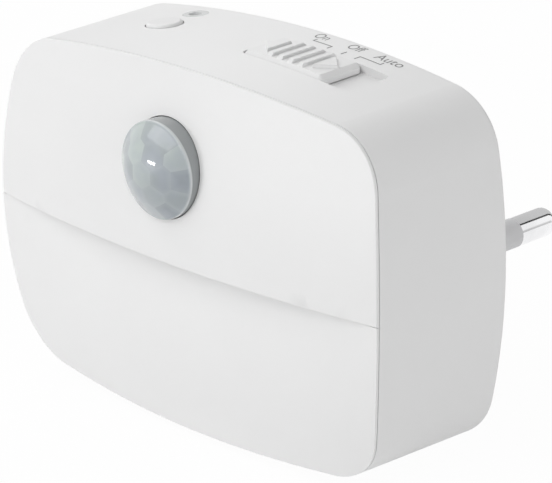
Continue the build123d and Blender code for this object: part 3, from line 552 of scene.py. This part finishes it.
class Surface:
    """Grids of points that are gathered into one mesh."""

    def __init__(self) -> None:
        """Start with no points."""
        self.points: list[np.ndarray] = []
        self.faces: list[np.ndarray] = []
        self.count = 0

    def add(self, points: np.ndarray) -> int:
        """Keep points.

        Args:
            points: Any shape whose last axis is x, y and z.

        Returns:
            The index of the first one.
        """
        start = self.count
        self.points.append(points.reshape(-1, 3))
        self.count += len(self.points[-1])
        return start

    def grid(self, points: np.ndarray, wrap: bool = False, flip: bool = False) -> np.ndarray:
        """Add a grid of quads between neighbouring rows and columns.

        Args:
            points: Rows by columns by three.
            wrap: Whether the last column joins the first.
            flip: Whether the faces turn the other way.

        Returns:
            The index of each point, rows by columns.
        """
        rows, columns = points.shape[:2]
        index = self.add(points) + np.arange(rows * columns).reshape(rows, columns)
        self.join(index[:-1], index[1:], wrap, flip)
        return index

    def join(
        self, first: np.ndarray, second: np.ndarray, wrap: bool = True, flip: bool = False
    ) -> None:
        """Add quads between rows of indices that lie side by side.

        Args:
            first: Indices of one side, one row or several.
            second: Indices of the other side, of the same shape.
            wrap: Whether the last column joins the first.
            flip: Whether the faces turn the other way.
        """
        a, d = np.atleast_2d(first), np.atleast_2d(second)
        b, c = np.roll(a, -1, 1), np.roll(d, -1, 1)
        if not wrap:
            a, b, c, d = (side[:, :-1] for side in (a, b, c, d))
        quads = np.stack([a, b, c, d], -1).reshape(-1, 4)
        self.faces.append(quads[:, ::-1] if flip else quads)

    def pole(self, ring: np.ndarray, point: np.ndarray, flip: bool = False) -> None:
        """Close a ring with a fan of triangles to one point.

        Args:
            ring: Indices once round.
            point: The fan's tip.
            flip: Whether the faces turn the other way.
        """
        tip = self.add(point)
        fan = np.stack([ring, np.roll(ring, -1), np.full_like(ring, tip)], -1)
        self.faces.append(fan[:, ::-1] if flip else fan)

    def piece(
        self,
        name: str,
        finish: Finish,
        body: Body,
        slot: Slot,
        stands_for: Sequence[str] = (),
        sharp_degrees: float = 40.0,
    ) -> None:
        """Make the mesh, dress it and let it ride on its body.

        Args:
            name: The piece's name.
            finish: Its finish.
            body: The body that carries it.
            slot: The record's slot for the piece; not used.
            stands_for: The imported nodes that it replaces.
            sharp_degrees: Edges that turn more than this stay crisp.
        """
        mesh = bpy.data.meshes.new(name)
        faces = [face for block in self.faces for face in block.tolist()]
        mesh.from_pydata((np.concatenate(self.points) * MM).tolist(), [], faces)
        mesh.validate()
        mesh.shade_smooth()
        mesh.set_sharp_from_angle(angle=math.radians(sharp_degrees))
        mesh.materials.append(finish.material())
        piece = bpy.data.objects.new(name, mesh)
        bpy.context.scene.collection.objects.link(piece)
        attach(piece, body.value)
        if stands_for:
            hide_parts(*stands_for)
        log.info("%s: %d points, %d faces, on %s", name, self.count, len(mesh.polygons), body.value)


# ------------------------------------------------------------------------------ the body's form
@dataclass(frozen=True)
class BodyForm:
    """Bows and drafts of the moulded body that the pieces on it follow."""

    height: float = 56.0
    depth: float = 30.1
    stand_off: float = 9.4
    plug_drop: float = 11.5
    top_bow: float = 202.0
    top_draft: float = 0.8
    crown_across: float = 244.0
    crown_down: float = 103.5

    @property
    def front(self) -> float:
        """Y of the front's apex."""
        return -(self.stand_off + self.depth)

    def top(self, x: Numbers, y: Numbers) -> Numbers:
        """Height of the top: an arc across the body that rises evenly towards the back."""
        crest = self.plug_drop + self.height / 2 + self.top_draft * (y - self.front) / self.depth
        return crest - self.top_bow + np.sqrt(self.top_bow**2 - x**2)

    def crown(self, x: Numbers, z: Numbers) -> Numbers:
        """Y of the front: an arc across the body, turned about a level axis behind it."""
        ring = self.crown_down - self.crown_across + np.sqrt(self.crown_across**2 - x**2)
        return self.front + self.crown_down - np.sqrt(ring**2 - (z - self.plug_drop) ** 2)


# ------------------------------------------------------------------------------ motion lens
@dataclass(frozen=True)
class MotionLens:
    """Domed lens on a short rim, with rings of facets inside and a flange behind the panel.

    A ring of facets is their tilt from the axis in degrees and their number.
    """

    form: BodyForm
    back: float
    rise: float = 13.6
    radius: float = 7.375
    rim: float = 1.3
    dome: float = 3.19
    wall: float = 0.7
    flange: float = 1.2
    flange_thickness: float = 0.8
    edge_round: float = 0.3
    edge_start: float = 18.0
    edge_points: int = 6
    facet_rings: tuple[tuple[float, int], ...] = ((0.0, 1), (21.0, 6), (38.0, 12))
    steps: int = 144
    rings: int = 40

    @property
    def axis(self) -> float:
        """Z of the lens's axis."""
        return self.form.plug_drop + self.rise

    @property
    def rim_front(self) -> float:
        """Y of the rim's front, at its height above the panel on the lens's axis."""
        return float(self.form.crown(0.0, self.axis)) - self.rim

    @property
    def sphere(self) -> float:
        """Radius of the dome's sphere: half of rim radius squared over dome height, plus height."""
        return (self.radius**2 + self.dome**2) / (2 * self.dome)

    @property
    def centre(self) -> Point:
        """Centre of the dome's sphere."""
        return (0.0, self.rim_front - self.dome + self.sphere, self.axis)

    @property
    def facets(self) -> tuple[Point, ...]:
        """Directions of the facets, ring by ring."""
        rings = [tilted(np.radians(tilt), circle_angles(count)) for tilt, count in self.facet_rings]
        return tuple(tuple(facet) for facet in np.concatenate(rings).tolist())

    def ring(self, radius: np.ndarray, y: np.ndarray) -> np.ndarray:
        """Circles about the lens's axis.

        Args:
            radius: Each circle's radius.
            y: Each circle's y.

        Returns:
            Points, one row for each circle.
        """
        turn = circle_angles(self.steps)
        x, z = np.outer(radius, np.cos(turn)), self.axis + np.outer(radius, np.sin(turn))
        return np.stack([x, np.broadcast_to(y[:, None], x.shape), z], -1)

    def outside(self) -> np.ndarray:
        """Dome, rounded shoulder, rim and flange as circles from the axis outwards and back.

        The dome's y is the centre's less the sphere's reach at that radius, and the shoulder is
        the last part of a quarter circle.

        Returns:
            Points, one row for each circle.
        """
        start = self.radius - self.edge_round
        radius = np.linspace(0.0, start, self.rings + 1)[1:]
        dome = self.centre[1] - np.sqrt(self.sphere**2 - radius**2)
        turn = np.radians(np.linspace(self.edge_start, 90.0, self.edge_points))
        shoulder_r = start + self.edge_round * np.sin(turn)
        shoulder_y = dome[-1] + self.edge_round * (1 - np.cos(turn))
        seat, collar = self.back - self.flange_thickness, self.radius + self.flange
        flange_r = np.array([self.radius, collar, collar, self.radius - self.wall])
        flange_y = np.array([seat, seat, self.back, self.back])
        return self.ring(
            np.concatenate([radius, shoulder_r, flange_r]),
            np.concatenate([dome, shoulder_y, flange_y]),
        )

    def inside(self) -> np.ndarray:
        """Faceted hollow: along each direction, the nearest of the flat facets inside the dome.

        A facet's plane stands square to its direction, so a ray meets it at the plane's distance
        over the dot product of the two directions.

        Returns:
            Points, one row for each tilt from the hollow's edge to the axis.
        """
        limit = math.asin((self.radius - self.wall) / self.sphere)
        tilt = np.linspace(limit, 0.0, self.rings + 1)[:-1, None]
        way = tilted(tilt, circle_angles(self.steps)[None, :])
        reach = (self.sphere - self.wall) / np.max(way @ np.array(self.facets).T, -1)
        return np.array(self.centre) + reach[..., None] * way

    def build(self) -> None:
        """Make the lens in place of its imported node."""
        surface = Surface()
        outer = surface.grid(self.outside(), wrap=True, flip=True)
        inner = surface.grid(self.inside(), wrap=True, flip=True)
        surface.join(outer[-1], inner[0], flip=True)
        x, y, z = self.centre
        surface.pole(outer[0], np.array([x, y - self.sphere, z]))
        surface.pole(inner[-1], np.array([x, y - self.sphere + self.wall, z]), flip=True)
        finish = FacetedLens("lens_milky_facets", self.centre, self.rim_front, self.facets)
        surface.piece(
            "lens_dome", finish, Body.LIGHT, Slot.LENS, ["sensor_lens"], sharp_degrees=50.0
        )


# ------------------------------------------------------------------------------ slide knob
@dataclass(frozen=True)
class SlideKnob:
    """Knob of the slide switch: bowed top, chamfered edge, four bars between two arrowheads."""

    form: BodyForm
    x: float = 10.0
    from_back: float = 10.95
    length: float = 15.8
    width: float = 8.6
    corner: float = 0.8
    chamfer: float = 0.6
    proud: float = 0.42
    underside: float = 1.05
    underside_rings: tuple[float, ...] = (1.0, 0.97, 0.75, 0.5, 0.25)
    bar_pitch: float = 2.05
    bar_width: float = 0.76
    bar_length: float = 5.9
    bar_slope: float = 0.7
    bar_count: int = 4
    relief: float = 0.45
    flank: float = 0.12
    arrow_base: float = 4.5
    arrow_half: float = 2.6
    arrow_reach: float = 2.9
    spacing: float = 0.07
    stem_length: float = 4.0
    stem_width: float = 2.6
    socket_length: float = 2.5
    socket_width: float = 1.7
    socket_depth: float = 1.95

    @property
    def y(self) -> float:
        """Y of the knob's middle."""
        return -self.form.stand_off - self.from_back

    @property
    def half(self) -> np.ndarray:
        """Half the knob's length and width."""
        return np.array([self.length, self.width]) / 2

    def lines(self, half: float, features: Sequence[float]) -> np.ndarray:
        """Grid lines from minus half to half, evenly spaced between the features.

        Args:
            half: Distance of the last line.
            features: Distances that have a line of their own, on both sides.

        Returns:
            The lines' places in order.
        """
        marks = [side * value for value in (*features, half) for side in (-1, 1)]
        marks = np.unique(np.round(marks, 6))
        counts = np.ceil(np.diff(marks) / self.spacing).astype(int)
        starts = np.repeat(marks[:-1], counts)
        steps = np.arange(counts.sum()) - np.repeat(np.cumsum(counts) - counts, counts)
        return np.append(starts + steps * np.repeat(np.diff(marks) / counts, counts), half)

    def plan(self) -> np.ndarray:
        """Points of a rounded rectangle about the knob's middle.

        They are a square grid whose corner squares are drawn in to quarter discs: a point keeps its
        direction from the corner's centre, and its larger coordinate there becomes its distance.
        Grid lines run along the edges of the bars, the arrowheads' bases and the chamfer.

        Returns:
            Rows by columns by two.
        """
        half = self.half
        fades = (0.0, self.flank / 2, self.flank)
        middles = [self.bar_pitch * (index + 0.5) for index in range(self.bar_count // 2)]
        along = [
            middle + side * (self.bar_width / 2 + fade)
            for middle in middles
            for side in (-1, 1)
            for fade in fades
        ]
        along += [self.arrow_base + fade for fade in fades]
        along += [half[0] - self.chamfer, half[0] - self.corner]
        across = [self.bar_length / 2, self.bar_length / 2 + self.bar_slope, self.arrow_half]
        across += [half[1] - self.chamfer, half[1] - self.corner]
        axes = [self.lines(half[0], along), self.lines(half[1], across)]
        square = np.stack(np.meshgrid(*axes, indexing="ij"), -1)
        over = np.maximum(np.abs(square) - (half - self.corner), 0.0)
        both = np.all(over > 0, -1)
        reach = np.maximum(np.linalg.norm(over, axis=-1), np.finfo(float).eps)
        shrink = np.where(both, over.max(-1) / reach, 1.0)[..., None]
        return np.sign(square) * (np.abs(square) - over + over * shrink)

    def edge_distance(self, plan: np.ndarray) -> np.ndarray:
        """How far points lie inside the rounded rectangle.

        Args:
            plan: The points, as plan() gives them.

        Returns:
            The corner's radius less the distance from the rectangle of the corners' centres.
        """
        over = np.abs(plan) - (self.half - self.corner)
        outside = np.linalg.norm(np.maximum(over, 0.0), axis=-1)
        return self.corner - outside - np.minimum(over.max(-1), 0.0)

    def pattern(self, plan: np.ndarray) -> np.ndarray:
        """Share of the relief: the nearest distance inside a bar or arrowhead over its flank.

        Args:
            plan: The points, as plan() gives them.

        Returns:
            Nought on the knob's plain top to one on a bar or an arrowhead, eased at both ends.
        """
        x, y = plan[..., 0], plan[..., 1]
        share = np.zeros_like(x)
        ends = (self.bar_length / 2 + self.bar_slope - np.abs(y)) / self.bar_slope
        for index in range(self.bar_count):
            middle = self.bar_pitch * (index - (self.bar_count - 1) / 2)
            side = (self.bar_width / 2 + self.flank - np.abs(x - middle)) / self.flank
            share = np.maximum(share, np.clip(np.minimum(ends, side), 0.0, 1.0))
        past = np.abs(x) - self.arrow_base
        slant = math.hypot(self.arrow_half, self.arrow_reach)
        inside = (self.arrow_reach - past) * self.arrow_half - np.abs(y) * self.arrow_reach
        arrow = np.minimum(inside / slant, past) / self.flank
        share = np.maximum(share, np.clip(arrow, 0.0, 1.0))
        return share * share * (3.0 - 2.0 * share)

    def settle(self, plan: np.ndarray, rise: Numbers) -> np.ndarray:
        """Points at a plan place, raised above the body's bowed top."""
        x, y = plan[..., 0] + self.x, plan[..., 1] + self.y
        return np.stack([x, y, self.form.top(x, y) + rise], -1)

    def stem(self, surface: Surface, bottom: float) -> None:
        """Add the hollow stem: an oblong tube that starts inside the plate, with a closed socket.

        Args:
            surface: What it is added to.
            bottom: Z of its lower end.
        """
        stem, socket = (self.stem_length, self.stem_width), (self.socket_length, self.socket_width)
        start = self.settle(np.zeros(2), -self.underside / 2)[2]
        corners = np.array([(-1, -1), (1, -1), (1, 1), (-1, 1)])
        loops = []
        for size, z in (
            (stem, start),
            (stem, bottom),
            (socket, bottom),
            (socket, bottom + self.socket_depth),
        ):
            flat = corners * np.array(size) / 2 + np.array([self.x, self.y])
            loops.append(np.column_stack([flat, np.full(4, z)]))
        index = surface.grid(np.stack(loops), wrap=True, flip=True)
        surface.pole(index[0], loops[0].mean(0))
        surface.pole(index[-1], loops[-1].mean(0), flip=True)

    def build(self, finish: Finish, bottom: float) -> None:
        """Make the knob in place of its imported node.

        Args:
            finish: The knob's plastic.
            bottom: Z of the stem's lower end.
        """
        plan = self.plan()
        cut = np.maximum(self.chamfer - self.edge_distance(plan), 0.0)
        height = self.proud - cut + self.relief * self.pattern(plan)
        surface = Surface()
        upper = surface.grid(self.settle(plan, height), flip=True)
        rings = np.array(self.underside_rings)[:, None, None] * rim_of(plan)
        lower = surface.grid(self.settle(rings, -self.underside), wrap=True, flip=True)
        surface.join(rim_of(upper), lower[0], flip=True)
        surface.pole(lower[-1], self.settle(np.zeros(2), -self.underside), flip=True)
        self.stem(surface, bottom)
        surface.piece(
            "knob_cap", finish, Body.SLIDER, Slot.KNOB, ["slide_knob"], sharp_degrees=25.0
        )


# ------------------------------------------------------------------------------ words and marks
@dataclass(frozen=True)
class TopMarks:
    """Printed words and position marks beside the slide switch.

    A word is its text, the x where it starts and the x where it ends. A mark is a route of corners.
    """

    form: BodyForm
    baseline: float = -12.6
    cap_height: float = 1.95
    lift: float = 0.012
    line: float = 0.22
    leg_steps: int = 8
    letter_steps: int = 4
    words: tuple[tuple[str, float, float], ...] = (
        ("On", 4.45, 7.1),
        ("Off", 11.2, 14.1),
        ("Auto", 16.7, 21.9),
    )
    marks: tuple[tuple[tuple[float, float], ...], ...] = (
        ((5.85, -12.9), (5.85, -13.78), (9.65, -13.78), (9.65, -14.85)),
        ((12.72, -13.85), (12.72, -15.1)),
        ((15.35, -15.05), (15.35, -13.78), (19.3, -13.78), (19.3, -12.95)),
    )

    def settle(self, flat: np.ndarray) -> np.ndarray:
        """Lay flat points just above the bowed top."""
        x, y = flat[..., 0], flat[..., 1]
        return np.stack([x, y, self.form.top(x, y) + self.lift], -1)

    def word(self, text: str, start: float, end: float) -> tuple[np.ndarray, list[list[int]]]:
        """Letters of one word, stretched from its start to its end.

        Args:
            text: The word.
            start: X of its first letter's left side.
            end: X of its last letter's right side.

        Returns:
            The flat points, and the faces as lists of their indices.
        """
        curve = bpy.data.curves.new(text, "FONT")
        curve.body = text
        curve.resolution_u = self.letter_steps
        holder = bpy.data.objects.new(text, curve)
        mesh = bpy.data.meshes.new_from_object(holder)
        flat = np.zeros(len(mesh.vertices) * 3)
        mesh.vertices.foreach_get("co", flat)
        flat = flat.reshape(-1, 3)[:, :2]
        faces = [list(polygon.vertices) for polygon in mesh.polygons]
        bpy.data.objects.remove(holder)
        bpy.data.meshes.remove(mesh)
        bpy.data.curves.remove(curve)
        low, high = flat.min(0), flat.max(0)
        scale = np.array([end - start, self.cap_height]) / (high - low)
        return (flat - low) * scale + np.array([start, self.baseline]), faces

    def stroke(self, route: Sequence[tuple[float, float]]) -> np.ndarray:
        """A line along a route, mitred at its corners.

        Each leg is cut into even steps. A point's aside is the sum of its two legs' square
        directions, made so long that it reaches one along the first of them.

        Args:
            route: The corners.

        Returns:
            Two rows of points, a line's width apart.
        """
        legs = zip(route[:-1], route[1:])
        fine = [np.linspace(start, end, self.leg_steps, endpoint=False) for start, end in legs]
        points = np.concatenate([*fine, [route[-1]]])
        ahead = np.diff(points, axis=0)
        ahead /= np.linalg.norm(ahead, axis=1)[:, None]
        aside = np.stack([-ahead[:, 1], ahead[:, 0]], -1)
        first = np.concatenate([aside[:1], aside])
        mitre = first + np.concatenate([aside, aside[-1:]])
        mitre /= (mitre * first).sum(1)[:, None]
        return np.stack([points + mitre * self.line / 2, points - mitre * self.line / 2])

    def build(self, ink: Finish) -> None:
        """Make every word and mark as one thin piece.

        Args:
            ink: What they are printed with.
        """
        surface = Surface()
        for text, start, end in self.words:
            flat, faces = self.word(text, start, end)
            offset = surface.add(self.settle(flat))
            surface.faces.extend(np.array([face]) + offset for face in faces)
        for route in self.marks:
            surface.grid(self.settle(self.stroke(route)), flip=True)
        surface.piece("switch_marks", ink, Body.LIGHT, Slot.SATIN)


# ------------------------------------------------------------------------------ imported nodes
KNOB_WHITE = grey(0.80)
KNOB_ROUGHNESS = 0.38
SLOT_FINISHES: tuple[Finish, ...] = (
    MouldedPlastic("white_satin", grey(0.83)),
    MouldedPlastic("knob_white", KNOB_WHITE, KNOB_ROUGHNESS),
    MouldedPlastic("diffuser_opal", grey(0.84), 0.5),
    MouldedPlastic("lens_milky", (0.42, 0.46, 0.46), 0.3),
    MouldedPlastic("window_clear", (0.79, 0.80, 0.80), 0.15, 3000.0, 0.000004),
    Metal("plated_pin", (0.93, 0.93, 0.94), 0.06),
    MouldedPlastic("sleeve_grey", (0.66, 0.66, 0.67), 0.38),
    Metal("contact_brass", (0.86, 0.62, 0.26), 0.25),
    Metal("can_steel", (0.72, 0.73, 0.74), 0.28),
    MouldedPlastic("filter_dark", (0.02, 0.012, 0.016), 0.08, 800.0, 0.000002),
    MouldedPlastic("black_plastic", (0.02, 0.02, 0.021), 0.45),
    Metal("tinned_metal", (0.75, 0.75, 0.76), 0.32),
    MouldedPlastic("photocell_red", (0.42, 0.08, 0.04), 0.25),
    SolderMask("board_white", (0.78, 0.78, 0.75)),
    MouldedPlastic("led_cream", (0.72, 0.58, 0.16), 0.3),
    MouldedPlastic("reflector_white", (0.86, 0.86, 0.85), 0.35),
    SolderMask("board_green", (0.02, 0.13, 0.04)),
    MouldedPlastic("fuse_blue", (0.10, 0.24, 0.34), 0.3),
    MouldedPlastic("capacitor_red", (0.25, 0.02, 0.015), 0.2, coat=0.5),
    MouldedPlastic("capacitor_black", (0.015, 0.02, 0.03), 0.3, coat=0.3),
    Metal("screw_steel", (0.62, 0.63, 0.64), 0.3),
)


def dress_nodes() -> None:
    """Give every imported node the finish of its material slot."""
    materials = {finish.name: finish.material() for finish in SLOT_FINISHES}
    for part in frame["record"]["subparts"]:
        node = frame["nodes"][part["node"]]
        node.data.materials.clear()
        node.data.materials.append(materials[part["material_slot"]])
        log.info("%s: %s", node.name, part["material_slot"])


# ------------------------------------------------------------------------------ studio
@dataclass(frozen=True)
class Camera:
    """Long lens that looks at the light's front from its right and a little above.

    The place is in the model's millimetres, and the turns are in radians.
    """

    place: Point = (287.2056, -297.1392, 158.0807)
    yaw: float = 0.79625
    pitch: float = 0.35795
    roll: float = -0.00891
    focal_pixels: float = 2836.7
    frame_pixels: int = 552
    sensor: float = 36.0
    near: float = 20.0

    def build(self) -> None:
        """Make the camera and let the scene use it."""
        data = bpy.data.cameras.new("camera")
        camera = bpy.data.objects.new("camera", data)
        right = Vector((math.cos(self.yaw), math.sin(self.yaw), 0.0))
        level = Vector((right.y, -right.x, 0.0))
        back = level * math.cos(self.pitch) + Vector((0.0, 0.0, math.sin(self.pitch)))
        upright = Matrix((right, back.cross(right), back)).transposed()
        turned = Matrix.Rotation(self.roll, 3, back) @ upright
        camera.matrix_world = Matrix.Translation(Vector(self.place) * MM) @ turned.to_4x4()
        data.sensor_width = self.sensor
        data.lens = self.focal_pixels / self.frame_pixels * self.sensor
        data.clip_start = self.near * MM
        bpy.context.scene.collection.objects.link(camera)
        bpy.context.scene.camera = camera


@dataclass(frozen=True)
class Softbox:
    """Oblong lamp that faces the object from a direction."""

    name: str
    direction: Point
    width: float
    height: float
    energy: float
    distance: float = 0.9

    def build(self, aim: Vector) -> None:
        """Make the lamp.

        Args:
            aim: The point that it faces.
        """
        lamp = bpy.data.lights.new(self.name, "AREA")
        lamp.shape = "RECTANGLE"
        lamp.energy = self.energy
        lamp.size = self.width
        lamp.size_y = self.height
        holder = bpy.data.objects.new(self.name, lamp)
        way = Vector(self.direction).normalized()
        holder.location = aim + way * self.distance
        holder.rotation_euler = way.to_track_quat("Z", "Y").to_euler()
        holder.visible_camera = False
        bpy.context.scene.collection.objects.link(holder)
        log.info("%s lamp: %.2f by %.2f m", self.name, self.width, self.height)


@dataclass(frozen=True)
class Studio:
    """Pale room: an even sky, a few large lamps and a floor that the camera sees nearly white.

    A range in the sky is where a change begins and where it is full, measured as the reach of a
    direction across the seam, or backwards for the last of them.
    """

    sky: float = 0.42
    seam_angle: float = 67.0
    seam_level: float = 0.02
    seam_start: Range = (-0.11, -0.07)
    seam_end: Range = (0.05, 0.08)
    left_panel: float = 0.6
    left_start: Range = (-0.02, 0.04)
    white_start: Range = (-0.6, -0.5)
    behind: Range = (0.3, 0.4)
    floor_half: float = 1.6
    floor_gap: float = 0.0002
    floor_colour: Colour = grey(0.86)
    floor_cloud: float = 0.99
    floor_clouds_per_metre: float = 6.0
    floor_white: float = 0.97
    lamps: tuple[Softbox, ...] = (
        Softbox("front", (-0.42, -1.0, 0.05), width=0.22, height=0.06, energy=1.35),
        Softbox("high", (-0.35, -0.8, 0.95), width=0.9, height=0.6, energy=3.3),
        Softbox("top", (-0.9, 0.5, 0.8), width=0.5, height=0.5, energy=2.1),
        Softbox("side", (1.0, -0.1, 0.10), width=0.5, height=0.14, energy=1.6),
    )

    def build_sky(self) -> None:
        """Light the room evenly, and show white to the camera and in reflections.

        Mirrors that look back and up see two panels with a dark seam between them, which runs level
        above the pins: the reach across the seam is the direction's dot product with a vector
        square to it.
        """
        world = bpy.data.worlds.new("room")
        bpy.context.scene.world = world
        shader = Shader(world)
        way = shader.node("ShaderNodeTexCoord", output="Generated")
        turn = math.radians(self.seam_angle)
        across = shader.dot(way, (-math.sin(turn), 0.0, math.cos(turn)))
        levels = (1.0, self.left_panel, self.seam_level)
        white, left, dark = (paint(grey(level)) for level in levels)
        panels = shader.mix(across.span(*self.left_start), white, left)
        panels = shader.mix(across.span(*self.white_start), left, panels)
        seam = across.span(*self.seam_start) - across.span(*self.seam_end)
        panels = shader.mix(seam, panels, dark)
        behind = shader.dot(way, (0.0, 1.0, 0.0)).span(*self.behind)
        colour = shader.mix(shader.mirrored() * behind, white, panels)
        strength = shader.seen().span(0.0, 1.0, self.sky, 1.0)
        values = {"Color": colour, "Strength": strength}
        shader.end(shader.node("ShaderNodeBackground", values=values), "ShaderNodeOutputWorld")

    def floor_material(self) -> bpy.types.Material:
        """Pale matt floor that shows mostly white where the camera or a reflection sees it.

        Returns:
            The floor's material.
        """
        material = bpy.data.materials.new("floor")
        shader = Shader(material)
        cloud = shader.noise(shader.place(), self.floor_clouds_per_metre)
        shaded = paint(self.floor_colour, self.floor_cloud)
        colour = shader.mix(cloud, shaded, paint(self.floor_colour))
        matt = shader.node("ShaderNodeBsdfDiffuse", values={"Color": colour})
        white = {"Color": paint(grey(1.0)), "Strength": 1.0}
        glow = shader.node("ShaderNodeEmission", values=white)
        factor = shader.seen() * self.floor_white
        shader.end(shader.node("ShaderNodeMixShader", values={0: factor, 1: matt, 2: glow}))
        return material

    def build_floor(self, height: float) -> None:
        """Lay the floor under the object.

        Args:
            height: Its z in metres.
        """
        corners = [(-1, -1), (1, -1), (1, 1), (-1, 1)]
        points = [(x * self.floor_half, y * self.floor_half, height) for x, y in corners]
        mesh = bpy.data.meshes.new("floor")
        mesh.from_pydata(points, [], [(0, 1, 2, 3)])
        mesh.materials.append(self.floor_material())
        floor = bpy.data.objects.new("floor", mesh)
        bpy.context.scene.collection.objects.link(floor)
        log.info("floor: at %.4f m", height)

    def build(self, low: Point, high: Point) -> None:
        """Make the room round a box.

        Args:
            low: The box's lowest corner.
            high: Its highest corner.
        """
        self.build_sky()
        self.build_floor(low[2] - self.floor_gap)
        aim = (Vector(low) + Vector(high)) / 2
        for lamp in self.lamps:
            lamp.build(aim)


def main() -> None:
    """Build the night light's pieces, finishes and studio, in order."""
    logging.basicConfig(level=logging.INFO, format="%(message)s")
    Camera().build()
    form = BodyForm()
    dress_nodes()
    MotionLens(form, back=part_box("sensor_lens")[1][1] / MM).build()
    knob_finish = MouldedPlastic("knob_white_cap", KNOB_WHITE, KNOB_ROUGHNESS)
    SlideKnob(form).build(knob_finish, bottom=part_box("slide_knob")[0][2] / MM)
    TopMarks(form).build(PrintedInk("mark_grey", grey(0.20)))
    Studio().build(*cad_box)
    bpy.context.scene.view_settings.view_transform = "Standard"


if __name__ == "__main__":
    main()
